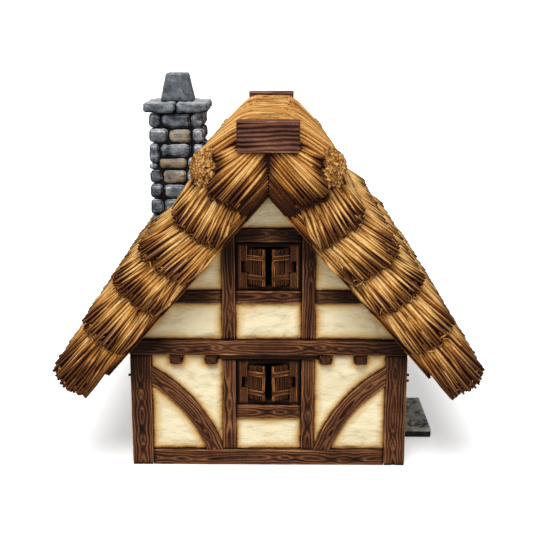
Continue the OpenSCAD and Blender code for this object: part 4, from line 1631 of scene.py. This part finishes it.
@dataclass
class Thatch(Roof):
    """Thatched roof: base coat, courses on both slopes and the ridge course, all of single strands."""

    lanes: int = 8
    base_half: float = 82.0
    base_end: float = 90.63
    base_hang: float = 3.2
    base_skin: float = 0.25
    base_side: Span = (0.6, 6.4)
    base_chamfer: float = 3.0
    under_side: Span = (72.0, 8.5)
    under_skin: float = 0.12
    ridge_gaps: Span = (1.3, 2.4)
    ridge_in: float = 1.0
    ridge_flat: float = 9.5
    ridge_top: float = 137.2
    ridge_sag: float = 2.2
    ridge_at_stack: float = 0.78
    rear_sag: float = 3.0
    fan_counts: tuple[int, int] = (19, 9)
    fan_share: tuple[float, ...] = (0.0, 0.25, 0.45, 0.65, 0.85, 1.05, 1.2)
    fan_heads: tuple[Span, ...] = ((0.4, 122.6), (1.0, 129.4), (3.6, 129.6), (5.6, 129.6), (8.4, 128.8),
                                   (10.0, 129.8), (11.9, 131.4))
    fan_feet: tuple[Span, ...] = ((12.6, 109.0), (16.4, 111.0), (20.0, 112.4), (22.8, 114.4), (20.8, 119.6),
                                  (18.6, 125.0), (20.5, 128.2))
    puff_at: tuple[float, float, float] = (22.4, 79.4, 121.8)
    puff_r: tuple[float, float, float] = (6.2, 5.4, 7.8)
    puff_ends: int = 400
    loose_ends: int = 110
    loose_tilt: tuple[float, float, float] = (0.5, 0.7, -0.6)
    end_l: float = 2.6

    def build(self) -> None:
        """Builds the strands of every layer and washes the CAD solids under them."""
        straw = STRAW.material()
        core = STRAW_CORE.material()
        both = (-1, 1)
        covered = ["left_thatch_base", "right_thatch_base", "ridge_thatch"]
        for number in range(1, len(self.butts)):
            covered.append(f"thatch_course_{number}")
            parts = [part for side in both for part in Course(number=number, side=side).build()]
            publish(f"thatch_course_{number}_straw", joined(parts), straw, "thatch")
        for name in covered:
            dress(name, core)
        base = [part for side in both for end in both for part in self.base_coat(side, end)]
        publish("thatch_base_straw", joined(base), straw, "thatch")
        ridge = [self.ridge(side, layer) for side in both for layer in (0, 1)]
        publish("ridge_straw", joined(ridge), straw, "thatch")
        fans = [part for side in both for end in both for part in self.ridge_end(side, end)]
        publish("ridge_end_straw", joined(fans), straw, "thatch")

    def base_coat(self, side: int, end: int) -> list[MeshData]:
        """Strands of the base coat along one verge: on its end and under its overhang.

        Args:
            side: Which slope.
            end: 1 for the rear verge, -1 for the front one.

        Returns:
            The strands.
        """
        stops = np.array([*self.butts[:-1], self.base_end])
        starts = np.array([0.0, *self.butts[:-1]])
        draw = Draws(np.random.default_rng(4000 + 10 * side + end), self.lanes * len(stops))
        lane, number = np.divmod(draw.numbers, len(stops))
        last = number == len(stops) - 1
        parts = []
        for under in (False, True):
            stop = stops[number] + draw.even(-1.0, 1.0) + self.base_hang * last
            start = starts[number] - draw.even(1.0, 3.0)
            drift = draw.bell(0, 0.3)
            if under:
                along = self.under_side[0] + (lane + 0.5) * self.under_side[1] / self.lanes
                out = np.full_like(along, self.under_skin)
            else:
                out = self.base_side[0] + (lane + 0.5) * self.base_side[1] / self.lanes
                chamfer = np.clip(self.base_chamfer - out, 0, self.base_chamfer)
                along = self.base_half - self.base_skin - chamfer
            start = np.where(number == 0, 0.3 - out * math.tan(ROOF_PITCH), np.maximum(start, 1.0))
            straw = Straw()
            share = straw.shares(draw.count)
            down = start + (stop - start) * share
            slide = drift * (share - 0.5)
            still, one = np.zeros_like(down), np.ones_like(down)
            if under:
                line = (self.placed(side, down, out + still, end * (along + slide)),
                        self.turned(side, still, still, -side * one),
                        self.turned(side, still, -one, still))
            else:
                line = (self.placed(side, down, out + slide, end * (along + 0.5 * share)),
                        self.turned(side, still, -one * side * end, still),
                        self.turned(side, still, still, end * one))
            # Base coat painted darker as shade: most in the V under the ridge fan, least along the eave
            shade = np.where(stop < self.butts[1] - 2, 0.38, 0.16) - 0.14 * last
            parts.append(straw.laid(line, draw.even(0.5, 0.85), draw.even(0.4, 0.6),
                                    draw.bell(0, 0.1) - shade, draw.even(0.7, 1.0),
                                    draw.even(0.4, 0.9), draw.even(0.3, 0.6)))
        return parts

    def ridge_line(self, share: float, steps: int = 60) -> Array:
        """Smooth section of the ridge course from its middle to its right-hand butt, evenly spaced.

        Args:
            share: Share of the way from the front end of the ridge to its rear end.
            steps: Number of points.

        Returns:
            Points across the house and up.
        """
        knots = [np.array([0.0, self.ridge_top]), np.array([self.ridge_flat + 0.5, self.ridge_top + 0.3])]
        tip = self.tips[0] - share * self.ridge_sag
        for down, out in ((5.6, tip + 1.8 * (1 - share)), (self.butts[0], tip), (13.2, tip - 1.6)):
            spot = self.placed(1, np.array(down), np.array(out), np.array(0.0))
            knots.append(spot[[0, 2]])
        line = np.array(knots)
        for _ in range(3):
            inner = np.stack([0.85 * line[:-1] + 0.15 * line[1:], 0.15 * line[:-1] + 0.85 * line[1:]], 1)
            line = np.concatenate([line[:1], inner.reshape(-1, 2), line[-1:]])
        run = np.concatenate([[0], np.cumsum(np.linalg.norm(np.diff(line, axis=0), axis=1))])
        even = np.linspace(0, run[-1], steps)
        return np.stack([np.interp(even, run, line[:, 0]), np.interp(even, run, line[:, 1])], 1)

    def ridge(self, side: int, layer: int) -> MeshData:
        """Strands of one layer that lie over one side of the ridge.

        Args:
            side: Which slope.
            layer: 0 for the full lower layer, 1 for the strands over it.

        Returns:
            The strands.
        """
        front, rear = self.ridge_line(0.0), self.ridge_line(1.0)
        slope = np.gradient((front + rear) / 2, axis=0)
        slope /= np.linalg.norm(slope, axis=1)[:, None]
        grid = np.linspace(0, 1, len(front))
        half = self.level_half
        span, gap = self.roof_half - self.ridge_in, self.ridge_gaps[layer]
        draw = Draws(np.random.default_rng(5000 + 10 * side + layer), int(2 * span / gap))
        seat = (draw.numbers + draw.even(-0.35, 0.35)) * gap - span
        start = draw.even(-0.12, 0.08) + layer * draw.even(0, 0.3)
        stop = draw.even(0.93, 1.0) - layer * draw.even(0, 0.25)
        drift = draw.bell(0, 0.7)
        raised = draw.even(-0.15, 0.15) + 0.2 * layer
        stack = (seat > self.stack_low[1]) & (seat < self.stack_high[1]) & (side < 0)
        stop = np.where(stack, np.minimum(stop, self.ridge_at_stack), stop)
        straw = Straw(5, 7)
        share = straw.shares(draw.count)
        way = start + (stop - start) * share
        run, side_of = np.abs(way), np.where(way < 0, -side, side)
        along = seat + drift * (share - 0.4)
        drop = 0.5 * np.clip(np.abs(along) - half, 0, self.nose_r)
        far = np.clip((along / half + 1) / 2, 0, 1)
        x, z = (np.interp(run, grid, front[:, i]) * (1 - far)
                + np.interp(run, grid, rear[:, i]) * far for i in (0, 1))
        dx, dz = (np.interp(run, grid, slope[:, i]) for i in (0, 1))
        fold = np.mod(far * self.bundles, 1.0)
        lift = raised + self.bundle_h * (1 - np.abs(2 * fold - 1)) * (drop == 0)
        spot = np.stack([side_of * (x - dz * lift), along, z + dx * lift - drop], -1)
        zero = np.zeros_like(run)
        line = (spot, np.stack([zero, side * np.ones_like(run), zero], -1),
                np.stack([-side * dz, zero, dx], -1))
        return straw.laid(line, draw.even(0.65, 1.0), draw.even(0.5, 0.8), draw.bell(-0.01, 0.14),
                          draw.even(0.0, 0.8), draw.even(0.6, 0.95), draw.even(0.65, 0.9))

    def ridge_end(self, side: int, end: int) -> list[MeshData]:
        """Fan of strands on the face of the ridge course under its block, and the cut ends at its shoulder.

        Args:
            side: Which slope.
            end: 1 for the rear, -1 for the front.

        Returns:
            The strands.
        """
        rng = np.random.default_rng(6000 + 10 * side + end)
        sag = self.rear_sag * (end > 0)
        fans = [self.fan(side, end, layer, sag, rng) for layer in (0, 1)]
        return [*fans, self.shoulder(side, end, sag, rng)]

    def fanned(self, spots: tuple[Span, ...], place: Array) -> Array:
        """Points on the line of the fan's heads or feet, at places along it."""
        return np.hstack([np.interp(place, self.fan_share, [spot[i] for spot in spots]) for i in (0, 1)])

    def fan(self, side: int, end: int, layer: int, sag: float, rng: np.random.Generator) -> MeshData:
        """One layer of the fan under a ridge block.

        Args:
            side: Which slope.
            end: 1 for the rear, -1 for the front.
            layer: 0 for the lower layer, 1 for the strands over it.
            sag: How far the ridge has sunk there.
            rng: Source of the random draws.

        Returns:
            The strands.
        """
        count = self.fan_counts[layer]
        draw = Draws(rng, count)
        place = (draw.numbers + draw.even(-0.25, 0.25) + 0.5) * self.fan_share[-1] / count
        head, foot = self.fanned(self.fan_heads, place), self.fanned(self.fan_feet, place)
        foot += rng.uniform(-0.5, 0.5, (count, 2)) - np.array([0.0, sag]) * place
        far = self.roof_half + 0.3 + 0.5 * layer + draw.even(-0.25, 0.25)
        bulge = draw.even(0.2, 0.8)
        run = foot - head
        way = run / np.linalg.norm(run, axis=1)[:, None]
        straw = Straw(5, 5)
        share = straw.shares(draw.count)
        flat = head[:, None] + run[:, None] * share[..., None]
        along = far + bulge * np.sin(share * np.pi) - 1.2 * (1 - share) ** 3
        spot = np.stack([side * flat[..., 0], end * along, flat[..., 1]], -1)
        one = np.ones_like(share)
        across = np.stack([way[:, 1:2] * one, 0 * one, -way[:, 0:1] * one * side], -1)
        line = spot, -across * end, np.stack([0 * one, end * one, 0 * one], -1)
        # Heads of the strands, under the block, are painted dark as its shadow
        return straw.laid(line, draw.even(0.6, 0.9), draw.even(0.8, 1.2), draw.bell(0.02, 0.12),
                          draw.even(0.8, 1.0), draw.even(0.5, 0.8), draw.even(0.38, 0.72),
                          draw.even(0.1, 0.3))

    def shoulder(self, side: int, end: int, sag: float, rng: np.random.Generator) -> MeshData:
        """Frayed puff of cut ends at the ridge's shoulder, and loose ends along the feet of the fan.

        Args:
            side: Which slope.
            end: 1 for the rear, -1 for the front.
            sag: How far the ridge has sunk there.
            rng: Source of the random draws.

        Returns:
            The cut ends.
        """
        puffed, loose = self.puff_ends, self.loose_ends
        reach = rng.normal((side * 0.5, end * 0.9, 0.1), 0.6, (puffed, 3))
        reach[:, 1] = end * np.abs(reach[:, 1])
        reach /= np.linalg.norm(reach, axis=1)[:, None]
        across, along, rise = self.puff_at
        centre = np.array([side * (across - 0.7 * sag), end * along, rise - sag])
        place = rng.uniform(-0.05, 0.55, loose)
        butt = self.fanned(self.fan_feet, place[:, None]).T + rng.normal(0, 0.7, (2, loose)) - 0.2
        foot = np.stack([side * butt[0], end * (self.roof_half + rng.uniform(-1.0, 0.8, loose)),
                         butt[1] - sag * place], 1)
        seat = np.concatenate([centre + reach * self.puff_r, foot])
        tilt = np.concatenate([reach, np.tile(np.array([side, end, 1]) * self.loose_tilt, (loose, 1))])
        tilt = tilt + rng.normal(0, 0.45, tilt.shape)
        tilt /= np.linalg.norm(tilt, axis=1)[:, None]
        guide = np.cross(tilt, np.array([0.0, 0.0, 1.0]))
        guide /= np.linalg.norm(guide, axis=1)[:, None]
        up = np.cross(tilt, guide)
        draw = Draws(rng, puffed + loose)
        straw = Straw(5, 1)
        share = straw.shares(draw.count)
        go = ((share - 0.8) * self.end_l)[..., None]
        one = np.ones_like(share)[..., None]
        line = seat[:, None] + go * tilt[:, None], guide[:, None] * one, up[:, None] * one
        dull = draw.numbers >= puffed
        size = draw.even(0.4, 0.78)
        return straw.laid(line, size, size, draw.bell(0.36, 0.16) - 0.5 * dull,
                          draw.even(0.0, 0.45) + 0.5 * dull, draw.even(0.6, 1.0),
                          draw.even(0.2, 0.7) - 0.4 * dull)


@dataclass
class RidgeBlocks:
    """Hewn blocks at the ends of the ridge, with deep grooves along them."""

    nodes: tuple[str, ...] = ("front_ridge_block", "rear_ridge_block")
    coarse: float = 1.0
    fine: float = 0.32
    end_dark: float = 0.3
    grain: Grain = field(default_factory=lambda: Grain(pitch=1.62, depth=0.8, arris=0.9, knot_every=0.0))

    def build(self) -> None:
        """Builds both blocks."""
        hewn = BLOCK.material()
        for number, node in enumerate(self.nodes):
            low, high = box_mm(node)
            steps = np.array([self.coarse, self.fine, self.fine])
            data = MeshData.taken_from(stepped_box(low, high, steps))
            self.grain.carve_along(data, low, high, Axis.X.value, 2300 + number)
            data.masks["joint_and_shade"] *= self.end_dark
            publish(node + "_hewn", data, hewn, "ridge_block", node)


@dataclass
class Chimney:
    """Rubble chimney: a dark mortar core, rounded stones on its faces, a slab cap and a tapered pot."""

    rows_from: float = 84.0
    row_h: float = 6.0
    front_rows: tuple[tuple[float, float, float], ...] = ((6.3, 5.0, 5.3), (6.1, 8.0, 4.9), (5.8, 4.3, 4.9),
                                                          (5.0, 3.6, 6.9), (5.9, 5.2, 7.3), (6.4, 5.4, 7.0),
                                                          (7.0, 5.6, 6.2))
    laps: dict[int, float] = field(default_factory=lambda: {2: 2.6})
    mortar_in: float = 1.2
    gap: float = 0.25
    round_r: float = 1.9
    corner_w: Span = (4.6, 7.6)
    split_from: float = 12.4
    deep: float = 5.0
    left_out: float = 0.6
    right_in: float = 1.3
    proud: float = 0.25
    taupe_rows: tuple[int, ...] = (1, 3, 4)
    grit_mm: Span = (2.2, 0.9)
    chip_mm: tuple[float, float, float] = (3.2, 3.2, 1.3)
    stone_step: float = 1.1
    cap_in: float = 0.6
    slab_gap: float = 0.4
    slab_r: float = 1.2
    pot_foot: float = 13.5
    pot_top: float = 9.0
    pot_r: float = 0.55
    pot_step: float = 0.8
    pit_mm: Span = (1.6, 0.7)
    flue: float = 5.0
    flue_deep: float = 8.0

    def build(self) -> None:
        """Builds the core, the stones, the cap and the pot."""
        low, high = box_mm("chimney_stack")
        inset = np.array([self.mortar_in, self.mortar_in, 0.0])
        right = np.array([self.right_in, 0.0, 0.0])
        core = MeshData.taken_from(gridded_box(low + inset, high - inset - right, (6, 6, 30)))
        core.points[:, :2] += 0.2 * np.stack([value_noise(core.points / 1.4, 31 + i) for i in (0, 1)], 1)
        publish("chimney_mortar", core, MORTAR.material(), "stone", "chimney_stack")
        publish("chimney_stones", joined(self.stones(low, high)), RUBBLE.material(), "stone")
        capstone = CAPSTONE.material()
        publish("chimney_cap_slabs", joined(self.cap()), capstone, "capstone", "chimney_cap")
        publish("chimney_pot_tapered", self.pot(), capstone, "capstone", "chimney_pot")

    def stone(self, low: Array, high: Array, seed: int, tone: float, taupe: float,
              radius: float, rough: float = 0.42) -> MeshData:
        """Rounded, pitted stone in a box.

        Args:
            low, high: Lowest and highest corner.
            seed: Picks the shape.
            tone: Paler above 0, darker below.
            taupe: How brown it is.
            radius: Rounding of its corners.
            rough: Height of its bumps.

        Returns:
            The stone.
        """
        size = high - low
        cuts = tuple(int(np.clip(round(length / self.stone_step), 3, 22)) for length in size)
        data = MeshData.taken_from(gridded_box(low, high, cuts))
        normal = data.rounded(low, high, min(radius, 0.42 * size.min()))
        bumps = two_noises(data.points, *self.grit_mm, seed)
        chips = np.clip(value_noise(data.points / self.chip_mm, seed + 2) - 0.1, 0, 1)
        data.points = data.points + normal * (rough * (0.6 * bumps - 1.1 * chips) - 0.05)[:, None]
        square = np.max(np.abs(normal), axis=1)
        # Tops painted paler and undersides darker: painted light from above, over the dry-brushed crests
        crest = 0.3 + 0.28 * (square - 0.58) / 0.42 + 0.26 * bumps + 0.34 * np.clip(normal[:, 2], -0.7, 1)
        brow = near(square - 0.86, 0.1) * 0.24 - 0.3 * np.clip(chips, 0, 0.5)
        brown = taupe * np.clip(0.85 + 0.6 * bumps, 0.25, 1)
        data.masks = {"crest": np.clip(crest + brow + tone, 0, 1), "taupe": brown}
        return data

    def stones(self, low: Array, high: Array) -> list[MeshData]:
        """Stones of every row: one at each corner, and one or two between on each face.

        Args:
            low, high: Lowest and highest corner of the stack.

        Returns:
            The stones.
        """
        rng = np.random.default_rng(71)
        tall = [row[0] for row in self.front_rows]
        tall += [self.row_h] * int((high[2] - self.rows_from - sum(tall)) / self.row_h)
        edges = np.stack([low - self.proud, high + self.proud])
        edges[:, 0] = low[0] - self.left_out, high[0] - self.right_in
        parts = []
        for row, height in enumerate(tall):
            head = high[2] - sum(tall[:row]) - 0.2
            foot = head - height + self.gap
            wide = {spot: rng.uniform(*self.corner_w) for spot in np.ndindex(2, 2, 2)}
            if row < len(self.front_rows):
                wide[0, 0, 0], wide[0, 1, 0] = self.front_rows[row][1:]
            for x, y in np.ndindex(2, 2):
                corner = np.array([edges[x, 0], edges[y, 1]])
                far = corner + np.array([wide[0, x, y] * (1 - 2 * x), wide[1, x, y] * (1 - 2 * y)])
                box_low = np.array([*np.minimum(corner, far), foot])
                box_high = np.array([*np.maximum(corner, far), head])
                if x == 0 and y == 0:
                    box_low[2] -= self.laps.get(row, 0.0)
                    box_high[2] -= self.laps.get(row - 1, 0.0)
                parts.append(self.stone(box_low, box_high, int(rng.integers(9999)), rng.normal(0, 0.12),
                                        float(rng.random() < 0.05), self.round_r))
            for axis, end in np.ndindex(2, 2):
                first, last = ((0, c, end) if axis == 0 else (1, end, c) for c in (0, 1))
                start = edges[0, axis] + wide[first] + self.gap
                stop = edges[1, axis] - wide[last] - self.gap
                front = axis == 0 and end == 0
                count = 2 if stop - start > self.split_from and not front else 1
                splits = np.linspace(start, stop, count + 1)
                splits[1:-1] += rng.uniform(-1.2, 1.2, count - 1)
                other = 1 - axis
                face = edges[end, other]
                sides = np.sort([face, face + self.deep * (1 - 2 * end)])
                for left, right in zip(splits[:-1], splits[1:]):
                    box_low, box_high = np.empty(3), np.empty(3)
                    box_low[axis], box_high[axis] = left + self.gap / 2, right - self.gap / 2
                    box_low[other], box_high[other] = sides
                    box_low[2], box_high[2] = foot, head - rng.uniform(0, 0.5)
                    brown = row in self.taupe_rows if front else rng.random() < 0.12
                    parts.append(self.stone(box_low, box_high, int(rng.integers(9999)),
                                            rng.normal(0.02, 0.12), float(brown), self.round_r))
        return parts

    def cap(self) -> list[MeshData]:
        """Four rough slabs that make the cap.

        Returns:
            The slabs.
        """
        low, high = box_mm("chimney_cap")
        low[0], high[0] = low[0] + self.cap_in, high[0] - self.cap_in
        middle = (low + high) / 2
        parts = []
        for x, y in np.ndindex(2, 2):
            box_low = np.where((x, y, 0), middle + self.slab_gap / 2, low)
            box_high = np.where((x, y, 1), high, middle - self.slab_gap / 2)
            slab = self.stone(box_low, box_high, 400 + 7 * x + 13 * y, 0.1, 0.0, self.slab_r, 0.5)
            slab.masks = {"crest": slab.masks["crest"], "joint_and_shade": np.zeros(len(slab.points))}
            parts.append(slab)
        return parts

    def pot(self) -> MeshData:
        """Tapered square pot with its open flue.

        Returns:
            The pot.
        """
        low, high = box_mm("chimney_pot")
        shape = gridded_box(low, high, (0, 0, 0))
        middle = Vector((low + high) / 2)
        top = [v for v in shape.verts if v.co.z > middle.z]
        shrink = self.pot_top / self.pot_foot
        bmesh.ops.scale(shape, vec=(shrink, shrink, 1), verts=top, space=Matrix.Translation(-middle))
        lid = [f for f in shape.faces if all(v in top for v in f.verts)]
        bmesh.ops.inset_region(shape, faces=lid, thickness=(self.pot_top - self.flue) / 2)
        sunk = bmesh.ops.extrude_face_region(shape, geom=lid)["geom"]
        bmesh.ops.translate(shape, vec=(0, 0, -self.flue_deep),
                            verts=[v for v in sunk if isinstance(v, bmesh.types.BMVert)])
        bmesh.ops.delete(shape, geom=lid, context="FACES_ONLY")
        bmesh.ops.recalc_face_normals(shape, faces=shape.faces)
        sharp = [e for e in shape.edges if e.calc_face_angle(0) > 0.3]
        # The flue's floor lies below the pot, inside the cap, and stays sharp
        arrises = [e for e in sharp if min(v.co.z for v in e.verts) > low[2] - 1]
        bmesh.ops.bevel(shape, geom=arrises, offset=self.pot_r, affect="EDGES", segments=2, profile=0.5,
                        material=-1)
        sliced(shape, low, high, dict.fromkeys(Axis, self.pot_step))
        data = MeshData.taken_from(shape)
        flat = data.points - np.array(middle)
        pits = two_noises(data.points, *self.pit_mm, 91)
        reach = np.max(np.abs(flat[:, :2]), axis=1)
        well = (reach < self.flue / 2 + 0.1) & (data.points[:, 2] < high[2] - 0.4)
        data.points[:, :2] += np.where(well, 0, 0.16 * pits)[:, None] * np.sign(flat[:, :2]) * 0.6
        rise = (data.points[:, 2] - low[2]) / (high[2] - low[2])
        hems = near(rise - 0.98, 0.05) * 0.25 - near(rise, 0.1) * 0.2
        data.masks = {"crest": np.clip(0.5 + 0.18 * pits + hems, 0, 1), "joint_and_shade": well.astype(float)}
        return data


@dataclass
class Doorstep:
    """Cracked flagstone under the door."""

    step: float = 0.6
    cells: int = 26
    crack: float = 0.5
    crack_deep: float = 0.5
    crack_sway: float = 0.9
    crack_sway_mm: float = 2.2
    arris: float = 0.7
    pit_mm: Span = (3.0, 1.2)
    skin: float = 0.4
    # Depth under the top painted as the slab's lit top; below it the sides are painted as in shade
    brow: float = 1.2

    def build(self) -> None:
        """Builds the slab."""
        low, high = box_mm("doorstep")
        cuts = tuple(round(length / self.step) for length in high - low)
        data = MeshData.taken_from(gridded_box(low, high, cuts))
        data.rounded(low, high, self.arris)
        seats = np.random.default_rng(83).uniform(low[:2], high[:2], (self.cells, 2))
        sway = np.stack([value_noise(data.points / self.crack_sway_mm, 84 + i) for i in (0, 1)], 1)
        flat = data.points[:, :2] + self.crack_sway * sway
        away = np.sort(np.linalg.norm(flat[:, None] - seats[None], axis=2), axis=1)
        line = near(away[:, 1] - away[:, 0], self.crack)
        line *= value_noise(data.points / 7.0, 88) > -0.15
        relief = two_noises(data.points, *self.pit_mm, 86)
        upper = data.points[:, 2] > high[2] - self.skin
        data.points[:, 2] += np.where(upper, 0.16 * relief - self.crack_deep * line - 0.15, 0)
        # Top painted pale as lit and sides dark as in shade: painted light and painted shade
        crest = np.where(data.points[:, 2] > high[2] - self.brow, 0.62 + 0.25 * relief, 0.14 + 0.1 * relief)
        data.masks = {"crest": np.clip(crest, 0, 1), "joint_and_shade": line * upper}
        publish("doorstep_flag", data, FLAG.material(), "doorstep", "doorstep")


def dress_floors() -> None:
    """Gives the floors inside, which show only through the shutters' gaps, their own finish."""
    inside = INSIDE.material()
    for node in ("ground_floor", "upper_floor"):
        dress(node, inside)


def main() -> None:
    """Builds the scene in order."""
    logging.basicConfig(level=logging.INFO, format="%(name)s: %(message)s")
    Studio().build()
    TimberFrame().build()
    PlasterPanels().build()
    Joinery().build()
    Thatch().build()
    RidgeBlocks().build()
    Chimney().build()
    Doorstep().build()
    dress_floors()


if __name__ == "__main__":
    main()
